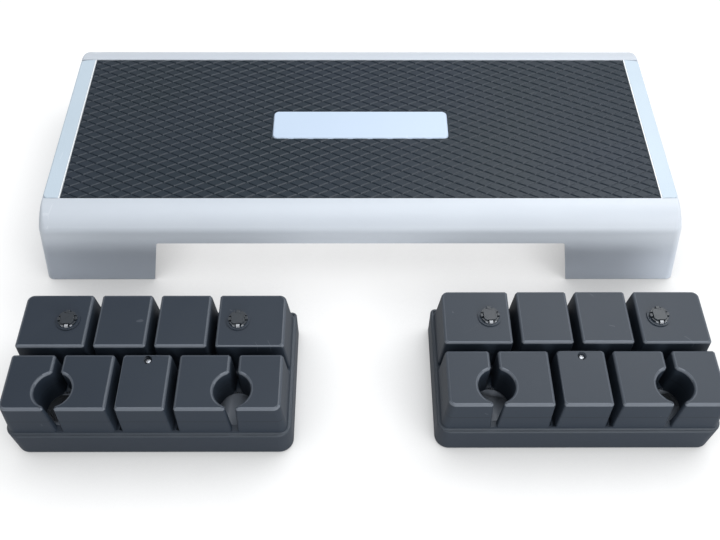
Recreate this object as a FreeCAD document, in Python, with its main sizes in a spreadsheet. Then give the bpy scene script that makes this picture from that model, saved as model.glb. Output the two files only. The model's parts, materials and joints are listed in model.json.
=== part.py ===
import FreeCAD, Part
import Sketcher
import math
import os

# An aerobic step: a hollow moulded platform with a rubber mat, standing behind its two loose riser
# blocks. Millimetres, +Z up. The floor is the plane Z = 0 and the origin is the middle of the set's
# footprint on it. The platform's length runs along X and the risers stand in front of it, towards -Y.

# Driving dimensions
SIZES = {
    # Platform shell
    "deck_height": 120.0,
    "rim_stand": 1.0,
    "floor_length": 826.0,
    "top_length": 783.0,
    "floor_depth": 331.0,
    "skirt_lean": 1.75,
    "rail_width": 35.25,
    "rail_drop": 25.0,
    "brow_radius": 15.0,
    "corner_radius": 9.5,
    "lip_corner": 3.0,
    "shell_wall": 3.0,
    "deck_plate": 3.5,
    "haunch_width": 14.5,
    "bridge_height": 77.0,
    "bridge_top_length": 509.0,
    "bridge_floor_length": 542.0,
    "bridge_corner": 4.0,
    # Mat, strips and plate let into the top
    "mat_recess": 3.5,
    "mat_thickness": 3.0,
    "lip_width": 1.5,
    "strip_width": 20.0,
    "strip_thickness": 2.0,
    "strip_ridge": 1.2,
    "strip_corner": 7.0,
    "plate_length": 230.0,
    "plate_depth": 50.0,
    "plate_corner": 7.0,
    "plate_thickness": 3.3,
    "plate_bevel": 1.4,
    "seat_gap": 0.3,
    # Ribs, socket sleeves and feet under the platform
    "rib_thickness": 3.0,
    "deck_rib_depth": 8.0,
    "deck_rib_spacing": 110.0,
    "leg_rib_clear": 8.0,
    "sleeve_width": 37.6,
    "sleeve_bore": 19.8,
    "sleeve_clear": 2.0,
    "sleeve_height": 57.0,
    "bar_length": 50.0,
    "bar_width": 5.0,
    "bar_height": 4.0,
    "bar_margin": 1.5,
    "bar_boss_height": 14.0,
    # Riser block moulding
    "riser_height": 95.0,
    "block_length": 300.5,
    "block_depth": 146.0,
    "block_draft": 5.0,
    "block_corner": 8.0,
    "block_wall": 3.0,
    "groove_floor": 48.0,
    "groove_draft": 1.7,
    "channel_width": 10.0,
    "channel_shift": 0.9,
    "back_slit": 9.8,
    "front_slit": 9.4,
    "back_outer_block": 77.0,
    "front_outer_block": 48.7,
    "front_middle_block": 53.4,
    "pocket_diameter": 40.6,
    "pocket_setback": 24.3,
    "pocket_floor": 44.0,
    "mouth_width": 12.0,
    "mouth_draft": 3.2,
    "edge_upright": 2.2,
    "edge_mouth": 1.7,
    # Riser base tray
    "ledge_height": 44.0,
    "ledge_width": 4.0,
    "seat_depth": 3.0,
    "slab_corner": 16.0,
    "slab_bevel": 1.6,
    "tray_floor": 4.0,
    "shelf_width": 3.0,
    "pad_length": 24.0,
    "pad_width": 8.0,
    "pad_height": 3.0,
    "pad_inset": 26.0,
    # Snap studs and screw of a riser
    "stud_setback": 34.5,
    "stud_ring_diameter": 27.0,
    "stud_ring_height": 1.6,
    "stud_diameter": 19.0,
    "stud_height": 5.4,
    "stud_disc": 15.0,
    "stud_crown": 1.2,
    "notch_width": 4.6,
    "notch_depth": 2.2,
    "stem_width": 9.0,
    "stem_length": 6.0,
    "screw_setback": 7.0,
    "screw_shift": 1.0,
    "screw_head": 7.4,
    "screw_head_height": 2.4,
    "screw_shank": 4.0,
    "screw_length": 16.0,
    "screw_well": 10.0,
    "screw_well_depth": 4.4,
    "post_wall": 1.4,
    "screw_gap": 0.1,
    # Places of the two loose risers, measured from the platform's middle
    "left_riser_aside": 236.9,
    "right_riser_aside": 244.0,
    "left_riser_forward": 325.6,
    "right_riser_forward": 321.0,
    # Overrun of every cutting shape
    "overrun": 5.0,
}

# Lengths nearer to each other than this count as alike
CLOSE = 0.001

doc = FreeCAD.newDocument("aerobic_step")
sheet = doc.addObject("Spreadsheet::Sheet", "Sizes")
for row, (alias, number) in enumerate(SIZES.items(), start=1):
    sheet.set("A%d" % row, alias)
    sheet.set("B%d" % row, str(number))
    sheet.setAlias("B%d" % row, alias)
doc.recompute()

# Lengths that follow from the driving dimensions, written as expressions on the sheet
S = "Sizes."
HALF_FLOOR_LENGTH = "(Sizes.floor_length / 2)"
HALF_FLOOR_DEPTH = "(Sizes.floor_depth / 2)"
BROW_Y = "(Sizes.floor_depth / 2 - Sizes.skirt_lean)"
LIP_Y = f"({BROW_Y} - Sizes.rail_width)"
RECESS_Y = f"({LIP_Y} - Sizes.lip_width)"
STRIP_X = "(Sizes.top_length / 2 - Sizes.strip_width)"
RECESS_X = f"({STRIP_X} - Sizes.strip_ridge)"
BROW_Z = "(Sizes.deck_height - Sizes.rail_drop)"
DECK_FLOOR_Z = "(Sizes.deck_height - Sizes.mat_recess)"
CEILING_Z = f"({DECK_FLOOR_Z} - Sizes.deck_plate)"
END_LEAN = "((Sizes.floor_length - Sizes.top_length) / 2 / (Sizes.deck_height - Sizes.rim_stand))"
SEAT_Z = "(Sizes.ledge_height - Sizes.seat_depth)"
BLOCK_FLARE = f"((Sizes.riser_height - {SEAT_Z}) * tan(Sizes.block_draft))"
FOOT_X = f"(Sizes.block_length / 2 + {BLOCK_FLARE})"
FOOT_Y = f"(Sizes.block_depth / 2 + {BLOCK_FLARE})"
SLAB_X = f"({FOOT_X} + Sizes.ledge_width)"
SLAB_Y = f"({FOOT_Y} + Sizes.ledge_width)"
CHANNEL_BACK = "(Sizes.channel_width / 2 - Sizes.channel_shift)"
CHANNEL_FRONT = "(-Sizes.channel_width / 2 - Sizes.channel_shift)"
POCKET_X = "(Sizes.block_length / 2 - Sizes.front_outer_block - Sizes.front_slit / 2)"
POCKET_Y = "(Sizes.pocket_setback - Sizes.block_depth / 2)"
STUD_Y = "(Sizes.block_depth / 2 - Sizes.stud_setback)"
SCREW_Y = f"({CHANNEL_FRONT} - Sizes.screw_setback)"
WELL_Z = "(Sizes.riser_height - Sizes.screw_well_depth)"
RING_Z = "(Sizes.riser_height + Sizes.stud_ring_height)"
SLEEVE_LOW = "(Sizes.rim_stand + Sizes.sleeve_clear)"
SLEEVE_HIGH = f"({SLEEVE_LOW} + Sizes.sleeve_height)"
# A nested riser's slab lies flush with the platform's end, which puts the sleeves and ribs over its gaps
NESTED_X = f"({HALF_FLOOR_LENGTH} - {SLAB_Y})"
SLEEVE_X = f"({NESTED_X} - {POCKET_Y})"
LEG_RIB_X = f"({NESTED_X} + Sizes.channel_shift)"
# The set's footprint is centred on the origin
PLATFORM_Y = f"((Sizes.left_riser_forward + {SLAB_Y} - {HALF_FLOOR_DEPTH}) / 2)"


def length(expression):
    """The present value of an expression on the sheet."""
    return float(sheet.evalExpression(expression))


def same(first, second):
    """Whether two lengths are alike, as far as building rounds them."""
    return abs(first - second) < CLOSE


def bind(thing, **expressions):
    """Ties properties to the sheet; a double underscore stands for a dot in a property's path."""
    for path, expression in expressions.items():
        thing.setExpression(path.replace("__", "."), expression)
    return thing


def place(thing, x="0", y="0", z="0"):
    """Ties an object's position to the sheet."""
    for axis, expression in zip("xyz", (x, y, z)):
        thing.setExpression("Placement.Base." + axis, expression)
    return thing


# Solids of the Part workbench
def box(name, low, high):
    """A box between two corners, each given as three expressions."""
    block = doc.addObject("Part::Box", name)
    bind(block, Length=f"{high[0]} - {low[0]}", Width=f"{high[1]} - {low[1]}", Height=f"{high[2]} - {low[2]}")
    return place(block, *low)


def cylinder(name, diameter, x, y, low, high):
    """An upright cylinder between two heights."""
    round_bar = doc.addObject("Part::Cylinder", name)
    bind(round_bar, Radius=f"{diameter} / 2", Height=f"{high} - {low}")
    return place(round_bar, x, y, low)


def frustum(name, foot, head, low, high, x="0", y="0"):
    """A four-sided block that tapers from its half sizes at the foot to those at the head."""
    wedge = doc.addObject("Part::Wedge", name)
    bind(wedge, Xmin=f"-{foot[0]}", Xmax=foot[0], Zmin=f"-{foot[1]}", Zmax=foot[1],
         X2min=f"-{head[0]}", X2max=head[0], Z2min=f"-{head[1]}", Z2max=head[1],
         Ymin="0", Ymax=f"{high} - {low}")
    upright = FreeCAD.Rotation(FreeCAD.Vector(1, 0, 0), 90)
    wedge.Placement = FreeCAD.Placement(FreeCAD.Vector(), upright)
    return place(wedge, x, y, low)


def fuse(name, shapes):
    joined = doc.addObject("Part::MultiFuse", name)
    joined.Shapes = shapes
    joined.Refine = True
    return joined


def cut(name, base, tool):
    rest = doc.addObject("Part::Cut", name)
    rest.Base = base
    rest.Tool = tool
    rest.Refine = True
    return rest


def common(name, first, second):
    shared = doc.addObject("Part::MultiCommon", name)
    shared.Shapes = [first, second]
    return shared


def rounded(name, base, choose, kind="Part::Fillet"):
    """Rounds or bevels the edges for which choose returns a pair of sizes.

    A fillet takes them as its radii at the edge's start and end, a chamfer as its two widths.
    """
    doc.recompute()
    softened = doc.addObject(kind, name)
    softened.Base = base
    chosen = []
    for number, edge in enumerate(base.Shape.Edges, start=1):
        pair = choose(edge)
        if pair:
            chosen.append((number, pair[0], pair[1]))
    softened.Edges = chosen
    return softened


# Sketches and features of the PartDesign workbench
def new_body(name):
    body = doc.addObject("PartDesign::Body", name)
    body.Label = name
    return body


def new_sketch(body, name, role="XY_Plane", offset="0"):
    """A sketch on one of the body's own planes, lifted by an offset along that plane's normal."""
    sketch = body.newObject("Sketcher::SketchObject", name)
    plane = [feature for feature in body.Origin.OriginFeatures if feature.Role == role][0]
    sketch.AttachmentSupport = [(plane, "")]
    sketch.MapMode = "FlatFace"
    sketch.setExpression("AttachmentOffset.Base.z", offset)
    return sketch


def constrain(sketch, expression, *terms):
    """Adds a dimension whose value follows an expression."""
    number = sketch.addConstraint(Sketcher.Constraint(*terms, length(expression)))
    sketch.setExpression("Constraints[%d]" % number, expression)


def draw_outline(sketch, points):
    """A closed outline of straight lines through points, each given as two expressions."""
    places = [FreeCAD.Vector(length(x), length(y), 0) for x, y in points]
    count, first = len(places), sketch.GeometryCount
    for number in range(count):
        sketch.addGeometry(Part.LineSegment(places[number], places[(number + 1) % count]), False)
    for number, (x, y) in enumerate(points):
        line, following = first + number, first + (number + 1) % count
        sketch.addConstraint(Sketcher.Constraint("Coincident", line, 2, following, 1))
        constrain(sketch, x, "DistanceX", -1, 1, line, 1)
        constrain(sketch, y, "DistanceY", -1, 1, line, 1)


def draw_rectangle(sketch, x, y, half_x, half_y):
    """A rectangle about a middle point, all given as expressions."""
    left, right = f"({x} - {half_x})", f"({x} + {half_x})"
    front, back = f"({y} - {half_y})", f"({y} + {half_y})"
    draw_outline(sketch, [(left, front), (right, front), (right, back), (left, back)])


def draw_rounded_rectangle(sketch, half_x, half_y, corner):
    """A rectangle about the origin with four equal round corners."""
    x, y, radius = length(half_x), length(half_y), length(corner)
    up = FreeCAD.Vector(0, 0, 1)
    sides = [((-1, -1), (1, -1)), ((1, -1), (1, 1)), ((1, 1), (-1, 1)), ((-1, 1), (-1, -1))]
    for turn, (start, end) in enumerate(sides):
        along = FreeCAD.Vector(end[0] - start[0], end[1] - start[1], 0).normalize() * radius
        first = FreeCAD.Vector(start[0] * x, start[1] * y, 0)
        last = FreeCAD.Vector(end[0] * x, end[1] * y, 0)
        sketch.addGeometry(Part.LineSegment(first + along, last - along), False)
        centre = FreeCAD.Vector(end[0] * (x - radius), end[1] * (y - radius), 0)
        begin = math.radians(90 * (turn - 1))
        circle = Part.Circle(centre, up, radius)
        sketch.addGeometry(Part.ArcOfCircle(circle, begin, begin + math.radians(90)), False)
    for number in range(8):
        sketch.addConstraint(Sketcher.Constraint("Tangent", number, 2, (number + 1) % 8, 1))
    for number in (0, 4):
        sketch.addConstraint(Sketcher.Constraint("Horizontal", number))
        sketch.addConstraint(Sketcher.Constraint("Vertical", number + 2))
    for number in (3, 5, 7):
        sketch.addConstraint(Sketcher.Constraint("Equal", 1, number))
    constrain(sketch, half_x, "DistanceX", -1, 1, 2, 1)
    constrain(sketch, half_x, "DistanceX", 6, 1, -1, 1)
    constrain(sketch, half_y, "DistanceY", -1, 1, 4, 1)
    constrain(sketch, half_y, "DistanceY", 0, 1, -1, 1)
    constrain(sketch, corner, "Radius", 1)


def draw_circles(sketch, radius, centres):
    """Equal circles, each centre given as two expressions."""
    for number, (x, y) in enumerate(centres):
        middle = FreeCAD.Vector(length(x), length(y), 0)
        sketch.addGeometry(Part.Circle(middle, FreeCAD.Vector(0, 0, 1), length(radius)), False)
        constrain(sketch, x, "DistanceX", -1, 1, number, 3)
        constrain(sketch, y, "DistanceY", -1, 1, number, 3)
        constrain(sketch, radius, "Radius", number)


def pad(body, sketch, height, taper=None):
    feature = body.newObject("PartDesign::Pad", sketch.Name + "_pad")
    feature.Profile = sketch
    bind(feature, Length=height)
    if taper:
        bind(feature, TaperAngle=taper)
    doc.recompute()
    return feature


def pocket(body, sketch, depth, upwards=False):
    """Cuts downwards from the sketch, or upwards, and makes sure that something was cut away."""
    before = body.Shape.Volume
    feature = body.newObject("PartDesign::Pocket", sketch.Name + "_pocket")
    feature.Profile = sketch
    feature.Reversed = upwards
    bind(feature, Length=depth)
    doc.recompute()
    if body.Shape.Volume >= before:
        raise RuntimeError("nothing was cut by " + feature.Name)
    return feature


def rounded_slab(name, half_x, half_y, corner, low, height):
    """A body with one flat slab of rounded-rectangle outline."""
    body = new_body(name)
    outline = new_sketch(body, name + "_outline", offset=low)
    draw_rounded_rectangle(outline, half_x, half_y, corner)
    pad(body, outline, height)
    return body


# Platform
def deck_prism():
    """The platform's cross-section, crowned rails and skirts included, drawn out along its length."""
    body = new_body("deck_prism")
    sketch = new_sketch(body, "deck_section", "YZ_Plane")
    floor, brow, lip = length(HALF_FLOOR_DEPTH), length(BROW_Y), length(LIP_Y)
    rim, brow_z, top = length(S + "rim_stand"), length(BROW_Z), length(S + "deck_height")
    radius = length(S + "brow_radius")
    point = FreeCAD.Vector
    brow_middle = point(brow - radius, brow_z, 0)
    inward, drop = brow_middle.x - lip, top - brow_z
    crown = (inward ** 2 + drop ** 2 - radius ** 2) / (drop - radius) / 2
    crown_middle = point(lip, top - crown, 0)
    outward = (brow_middle - crown_middle).normalize()
    knee = brow_middle + outward * radius
    shoulder = brow_middle + (outward + point(1, 0, 0)).normalize() * radius
    rise = crown_middle + (outward + point(0, 1, 0)).normalize() * crown
    sketch.addGeometry(Part.LineSegment(point(0, rim, 0), point(floor, rim, 0)), False)
    sketch.addGeometry(Part.LineSegment(point(floor, rim, 0), point(brow, brow_z, 0)), False)
    sketch.addGeometry(Part.Arc(point(brow, brow_z, 0), shoulder, knee), False)
    sketch.addGeometry(Part.Arc(knee, rise, point(lip, top, 0)), False)
    sketch.addGeometry(Part.LineSegment(point(lip, top, 0), point(0, top, 0)), False)
    sketch.addGeometry(Part.LineSegment(point(0, top, 0), point(0, rim, 0)), False)
    sketch.addConstraint(Sketcher.Constraint("Coincident", 0, 2, 1, 1))
    sketch.addConstraint(Sketcher.Constraint("Tangent", 1, 2, 2, 1))
    sketch.addConstraint(Sketcher.Constraint("Tangent", 2, 2, 3, 1))
    sketch.addConstraint(Sketcher.Constraint("Tangent", 3, 2, 4, 1))
    sketch.addConstraint(Sketcher.Constraint("Coincident", 4, 2, 5, 1))
    sketch.addConstraint(Sketcher.Constraint("Coincident", 5, 2, 0, 1))
    sketch.addConstraint(Sketcher.Constraint("PointOnObject", 5, 1, -2))
    sketch.addConstraint(Sketcher.Constraint("PointOnObject", 5, 2, -2))
    sketch.addConstraint(Sketcher.Constraint("Horizontal", 0))
    sketch.addConstraint(Sketcher.Constraint("Horizontal", 4))
    constrain(sketch, HALF_FLOOR_DEPTH, "DistanceX", -1, 1, 1, 1)
    constrain(sketch, S + "rim_stand", "DistanceY", -1, 1, 1, 1)
    constrain(sketch, BROW_Y, "DistanceX", -1, 1, 1, 2)
    constrain(sketch, BROW_Z, "DistanceY", -1, 1, 1, 2)
    constrain(sketch, LIP_Y, "DistanceX", -1, 1, 4, 1)
    constrain(sketch, S + "deck_height", "DistanceY", -1, 1, 4, 1)
    constrain(sketch, S + "brow_radius", "Radius", 2)
    half = pad(body, sketch, S + "floor_length + 2 * Sizes.overrun")
    half.Midplane = True
    mirror = body.newObject("PartDesign::Mirrored", "deck_mirror")
    mirror.Originals = [half]
    plane = [feature for feature in body.Origin.OriginFeatures if feature.Role == "XZ_Plane"][0]
    mirror.MirrorPlane = (plane, [""])
    body.Tip = mirror
    doc.recompute()
    return body


def deck_form():
    """The platform's outer form: drafted ends, with a corner rounding that fades out towards the lip.

    The rounding stays smaller than the brow's own, or it would fold over itself there.
    """
    wide = "Sizes.floor_depth"
    low, high = "(Sizes.rim_stand - Sizes.overrun)", "(Sizes.deck_height + Sizes.overrun)"
    ends = frustum("deck_ends", (f"({HALF_FLOOR_LENGTH} + {END_LEAN} * Sizes.overrun)", wide),
                   (f"(Sizes.top_length / 2 - {END_LEAN} * Sizes.overrun)", wide), low, high)
    blank = common("deck_blank", deck_prism(), ends)
    rim, top = length(S + "rim_stand"), length(S + "deck_height")
    half, lean = length(HALF_FLOOR_LENGTH), length(END_LEAN)

    def radius_at(point):
        return length(S + "lip_corner") if same(point.z, top) else length(S + "corner_radius")

    def end_edges(edge):
        start, end = edge.valueAt(edge.FirstParameter), edge.valueAt(edge.LastParameter)
        on_end = all(same(abs(point.x), half - lean * (point.z - rim)) for point in (start, end))
        on_floor = same(start.z, rim) and same(end.z, rim)
        return (radius_at(start), radius_at(end)) if on_end and not on_floor else None

    return rounded("deck_rounded", blank, end_edges)


def deck_cavity():
    """The hollow under the deck, lofted through three rounded rectangles from below the rim to the ceiling."""
    body = new_body("deck_cavity")
    skirt_slope = f"(Sizes.skirt_lean / ({BROW_Z} - Sizes.rim_stand))"
    inner_corner = "(Sizes.corner_radius - Sizes.shell_wall)"

    def inner_length(level):
        return f"({HALF_FLOOR_LENGTH} - {END_LEAN} * ({level} - Sizes.rim_stand) - Sizes.shell_wall)"

    mouth = "(Sizes.rim_stand - Sizes.overrun)"
    depths = {mouth: f"({HALF_FLOOR_DEPTH} + {skirt_slope} * Sizes.overrun - Sizes.shell_wall)",
              BROW_Z: f"({BROW_Y} - Sizes.shell_wall)",
              CEILING_Z: f"({BROW_Y} - Sizes.shell_wall - Sizes.haunch_width)"}
    sections = []
    for number, (level, depth) in enumerate(depths.items(), start=1):
        section = new_sketch(body, "cavity_section_%d" % number, offset=level)
        draw_rounded_rectangle(section, inner_length(level), depth, inner_corner)
        sections.append(section)
    loft = body.newObject("PartDesign::AdditiveLoft", "cavity_loft")
    loft.Profile = sections[0]
    loft.Sections = sections[1:]
    loft.Ruled = True
    doc.recompute()
    return body


def bridge_gap():
    """The wide gap under the platform's middle, with rounded upper corners."""
    low, wide = "(Sizes.rim_stand - Sizes.overrun)", "Sizes.floor_depth"
    lean = "((Sizes.bridge_floor_length - Sizes.bridge_top_length) / 2 / (Sizes.bridge_height - Sizes.rim_stand))"
    gap = frustum("bridge_blank", (f"(Sizes.bridge_floor_length / 2 + {lean} * Sizes.overrun)", wide),
                  ("(Sizes.bridge_top_length / 2)", wide), low, "Sizes.bridge_height")
    roof, radius = length(S + "bridge_height"), length(S + "bridge_corner")

    def roof_corners(edge):
        span = edge.BoundBox
        return (radius, radius) if same(span.ZMin, roof) and same(span.XMin, span.XMax) else None

    return rounded("bridge_gap", gap, roof_corners)


def sleeve_places():
    """Name and middle of each socket sleeve in the legs."""
    for row, way in (("front", "-1"), ("back", "1")):
        for side, sign in (("left", "-1"), ("right", "1")):
            yield f"{row}_{side}_sleeve", f"({sign} * {SLEEVE_X})", f"({way} * {POCKET_X})"


def deck_ribs():
    """The stiffening under the deck: a low grid, and in each leg ribs and a pillar over each sleeve."""
    low_z = f"({CEILING_Z} - Sizes.deck_rib_depth)"
    high_z = f"({CEILING_Z} + Sizes.overrun)"
    half_rib = "(Sizes.rib_thickness / 2)"
    pieces = []
    for number in range(-2, 3):
        x = f"({number} * Sizes.deck_rib_spacing)"
        pieces.append(box("cross_rib_%d" % (number + 3),
                          (f"({x} - {half_rib})", f"(-{HALF_FLOOR_DEPTH})", low_z),
                          (f"({x} + {half_rib})", HALF_FLOOR_DEPTH, high_z)))
    for number in (-1, 1):
        y = f"({number} * Sizes.deck_rib_spacing / 2)"
        pieces.append(box("long_rib_%d" % (number + 2),
                          (f"(-{HALF_FLOOR_LENGTH})", f"({y} - {half_rib})", low_z),
                          (HALF_FLOOR_LENGTH, f"({y} + {half_rib})", high_z)))
    leg_low = "(Sizes.rim_stand + Sizes.leg_rib_clear)"
    for side, sign in (("left", "-1"), ("right", "1")):
        rib_x = f"({sign} * {LEG_RIB_X})"
        pieces.append(box(side + "_leg_rib", (f"({rib_x} - {half_rib})", f"(-{HALF_FLOOR_DEPTH})", leg_low),
                          (f"({rib_x} + {half_rib})", HALF_FLOOR_DEPTH, high_z)))
        inner = f"(min({sign} * (Sizes.bridge_floor_length / 2 + Sizes.rib_thickness); {rib_x}))"
        outer = f"(max({sign} * (Sizes.bridge_floor_length / 2 + Sizes.rib_thickness); {rib_x}))"
        pieces.append(box(side + "_gusset", (inner, f"(-{half_rib})", leg_low), (outer, half_rib, high_z)))
        near = f"(min({rib_x}; {sign} * {HALF_FLOOR_LENGTH}))"
        far = f"(max({rib_x}; {sign} * {HALF_FLOOR_LENGTH}))"
        for row, way in (("front", "-1"), ("back", "1")):
            y = f"({way} * {POCKET_X})"
            pieces.append(box(f"{row}_{side}_cell_rib", (near, f"({y} - {half_rib})", leg_low),
                              (far, f"({y} + {half_rib})", high_z)))
    half_sleeve = "(Sizes.sleeve_width / 2)"
    half_space = f"({half_sleeve} + Sizes.seat_gap)"
    spaces = []
    for name, x, y in sleeve_places():
        pieces.append(box(name + "_pillar", (f"({x} - {half_sleeve})", f"({y} - {half_sleeve})", SLEEVE_HIGH),
                          (f"({x} + {half_sleeve})", f"({y} + {half_sleeve})", high_z)))
        spaces.append(box(name + "_space", (f"({x} - {half_space})", f"({y} - {half_space})", "0"),
                          (f"({x} + {half_space})", f"({y} + {half_space})", SLEEVE_HIGH)))
    return pieces, spaces


def sleeve(name, x, y):
    """An eight-sided open tube that takes a riser's stud, held between the rib ends and under a pillar."""
    tube = doc.addObject("Part::Prism", name + "_tube")
    tube.Polygon = 8
    bind(tube, Circumradius="Sizes.sleeve_width / 2", Height=S + "sleeve_height")
    place(tube, x, y, SLEEVE_LOW)
    bore = cylinder(name + "_bore", S + "sleeve_bore", x, y, "0", f"({SLEEVE_HIGH} + Sizes.overrun)")
    return cut(name, tube, bore)


def foot_places():
    """Name, middle and inward direction of each rubber bar under the leg skirts."""
    for row, way in (("front", "-1"), ("back", "1")):
        for side, sign in (("left", "-1"), ("right", "1")):
            y = f"({way} * ({HALF_FLOOR_DEPTH} - Sizes.bar_margin - Sizes.bar_width / 2))"
            yield f"{row}_{side}_foot", f"({sign} * {NESTED_X})", y


def deck_shell():
    recesses, bosses = [], []
    for name, x, y in foot_places():
        half_x = "(Sizes.bar_length / 2 + Sizes.bar_margin)"
        half_y = "(Sizes.bar_width / 2 + Sizes.bar_margin)"
        bosses.append(box(name + "_boss", (f"({x} - {half_x})", f"({y} - {half_y})", S + "rim_stand"),
                          (f"({x} + {half_x})", f"({y} + {half_y})", "(Sizes.rim_stand + Sizes.bar_boss_height)")))
        slot_x = "(Sizes.bar_length / 2 + Sizes.seat_gap)"
        slot_y = "(Sizes.bar_width / 2 + Sizes.seat_gap)"
        recesses.append(box(name + "_slot", (f"({x} - {slot_x})", f"({y} - {slot_y})", "(-Sizes.overrun)"),
                            (f"({x} + {slot_x})", f"({y} + {slot_y})", S + "bar_height")))
    high = "(Sizes.deck_height + Sizes.overrun)"
    front = f"(-{RECESS_Y})"
    recesses.append(box("mat_recess", (f"(-{RECESS_X})", front, DECK_FLOOR_Z), (RECESS_X, RECESS_Y, high)))
    rebate_z = "(Sizes.deck_height - Sizes.strip_thickness)"
    past_end = "(Sizes.top_length / 2 + Sizes.overrun)"
    recesses.append(box("right_rebate", (STRIP_X, front, rebate_z), (past_end, RECESS_Y, high)))
    recesses.append(box("left_rebate", (f"(-{past_end})", front, rebate_z), (f"(-{STRIP_X})", RECESS_Y, high)))
    cavity = deck_cavity()
    hollow = cut("deck_hollow", deck_form(), fuse("deck_spaces", [cavity, bridge_gap()]))
    pieces, spaces = deck_ribs()
    ribs = cut("deck_ribs", fuse("deck_pieces", pieces), fuse("sleeve_spaces", spaces))
    stiffening = common("deck_stiffening", fuse("deck_ribs_and_bosses", [ribs] + bosses), cavity)
    ribbed = fuse("deck_ribbed", [hollow, stiffening])
    shell = cut("deck_shell", ribbed, fuse("deck_recesses", recesses))
    return [shell]


def step_mat():
    """The rubber mat, with a window for the plate."""
    body = new_body("step_mat")
    sheet_outline = new_sketch(body, "mat_outline", offset=DECK_FLOOR_Z)
    x, y = f"({RECESS_X} - Sizes.seat_gap)", f"({RECESS_Y} - Sizes.seat_gap)"
    draw_rectangle(sheet_outline, "0", "0", x, y)
    pad(body, sheet_outline, S + "mat_thickness")
    window = new_sketch(body, "mat_window", offset=f"{DECK_FLOOR_Z} + Sizes.mat_thickness")
    draw_rounded_rectangle(window, "(Sizes.plate_length / 2 + Sizes.seat_gap)",
                           "(Sizes.plate_depth / 2 + Sizes.seat_gap)", "(Sizes.plate_corner + Sizes.seat_gap)")
    pocket(body, window, S + "mat_thickness")
    return [body]


def badge_plate():
    """The plate in the mat's window, bevelled all round."""
    body = rounded_slab("badge_plate", "(Sizes.plate_length / 2)", "(Sizes.plate_depth / 2)", S + "plate_corner",
                        DECK_FLOOR_Z, S + "plate_thickness")
    top = length(f"{DECK_FLOOR_Z} + Sizes.plate_thickness")
    slab = body.Tip
    rim = ["Edge%d" % number for number, edge in enumerate(slab.Shape.Edges, start=1)
           if same(edge.BoundBox.ZMin, top)]
    bevel = body.newObject("PartDesign::Chamfer", "plate_chamfer")
    bevel.Base = (slab, rim)
    bind(bevel, Size=S + "plate_bevel")
    body.Tip = bevel
    return [body]


def end_strips():
    """The two light strips beside the mat, rounded at their outer corners."""
    nodes = []
    for side, sign in (("left", -1), ("right", 1)):
        inner = f"({STRIP_X} + Sizes.seat_gap)"
        outer = "(Sizes.top_length / 2)"
        half_y = f"({RECESS_Y} - Sizes.seat_gap)"
        low, high = (inner, outer) if sign > 0 else (f"(-{outer})", f"(-{inner})")
        blank = box(side + "_strip_blank", (low, f"(-{half_y})", "(Sizes.deck_height - Sizes.strip_thickness)"),
                    (high, half_y, S + "deck_height"))
        edge_x, corner = sign * length(outer), length(S + "strip_corner")

        def outer_corners(edge):
            span = edge.BoundBox
            upright = same(span.XMin, span.XMax) and same(span.YMin, span.YMax)
            return (corner, corner) if upright and same(span.XMin, edge_x) else None

        nodes.append(rounded(side + "_end_strip", blank, outer_corners))
    return nodes


def rubber_bar(name, x, y, bar_length, bar_width, height):
    """A rubber bar that stands on the floor, about a middle point."""
    half_x, half_y = f"({bar_length} / 2)", f"({bar_width} / 2)"
    return box(name, (f"({x} - {half_x})", f"({y} - {half_y})", "0"),
               (f"({x} + {half_x})", f"({y} + {half_y})", height))


# Riser
def groove(name, width, draft, low, high):
    """A straight groove, narrower towards its floor, between two places given as x and y expressions."""
    depth = "(Sizes.riser_height - Sizes.groove_floor)"
    foot = f"({width} / 2 - {depth} * tan({draft}))"
    head = f"({width} / 2 + Sizes.overrun * tan({draft}))"
    half_x, half_y = f"(({high[0]} - {low[0]}) / 2)", f"(({high[1]} - {low[1]}) / 2)"
    along_x = low[1] == high[1]
    return frustum(name, (half_x, foot) if along_x else (foot, half_y), (half_x, head) if along_x else (head, half_y),
                   S + "groove_floor", "(Sizes.riser_height + Sizes.overrun)",
                   f"(({high[0]} + {low[0]}) / 2)", f"(({high[1]} + {low[1]}) / 2)")


def riser_gaps():
    """The channel between the rows, the slits between the blocks, and the two round pockets with their mouths."""
    past_x, past_y = f"({FOOT_X} + Sizes.overrun)", f"({FOOT_Y} + Sizes.overrun)"
    middle = "(-Sizes.channel_shift)"
    gaps = [groove("channel", S + "channel_width", S + "groove_draft", (f"(-{past_x})", middle), (past_x, middle))]
    back_x = "(Sizes.block_length / 2 - Sizes.back_outer_block - Sizes.back_slit / 2)"
    for number, x in enumerate((f"(-{back_x})", "0", back_x), start=1):
        gaps.append(groove("back_slit_%d" % number, S + "back_slit", S + "groove_draft", (x, middle), (x, past_y)))
    front_x = "(Sizes.front_middle_block / 2 + Sizes.front_slit / 2)"
    for number, x in enumerate((f"(-{front_x})", front_x), start=1):
        gaps.append(groove("front_slit_%d" % number, S + "front_slit", S + "groove_draft",
                           (x, f"(-{past_y})"), (x, middle)))
    for number, x in enumerate((f"(-{POCKET_X})", POCKET_X), start=1):
        gaps.append(groove("pocket_slit_%d" % number, S + "front_slit", S + "groove_draft", (x, POCKET_Y), (x, middle)))
        gaps.append(groove("pocket_mouth_%d" % number, S + "mouth_width", S + "mouth_draft",
                           (x, f"(-{past_y})"), (x, POCKET_Y)))
        well = cylinder("pocket_%d" % number, S + "pocket_diameter", x, POCKET_Y,
                        S + "pocket_floor", "(Sizes.riser_height + Sizes.overrun)")
        # The seam of the round wall lies in the mouth, where it is cut away
        well.Placement.Rotation = FreeCAD.Rotation(FreeCAD.Vector(0, 0, 1), -90)
        gaps.append(well)
    return fuse("riser_gaps", gaps)


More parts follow.
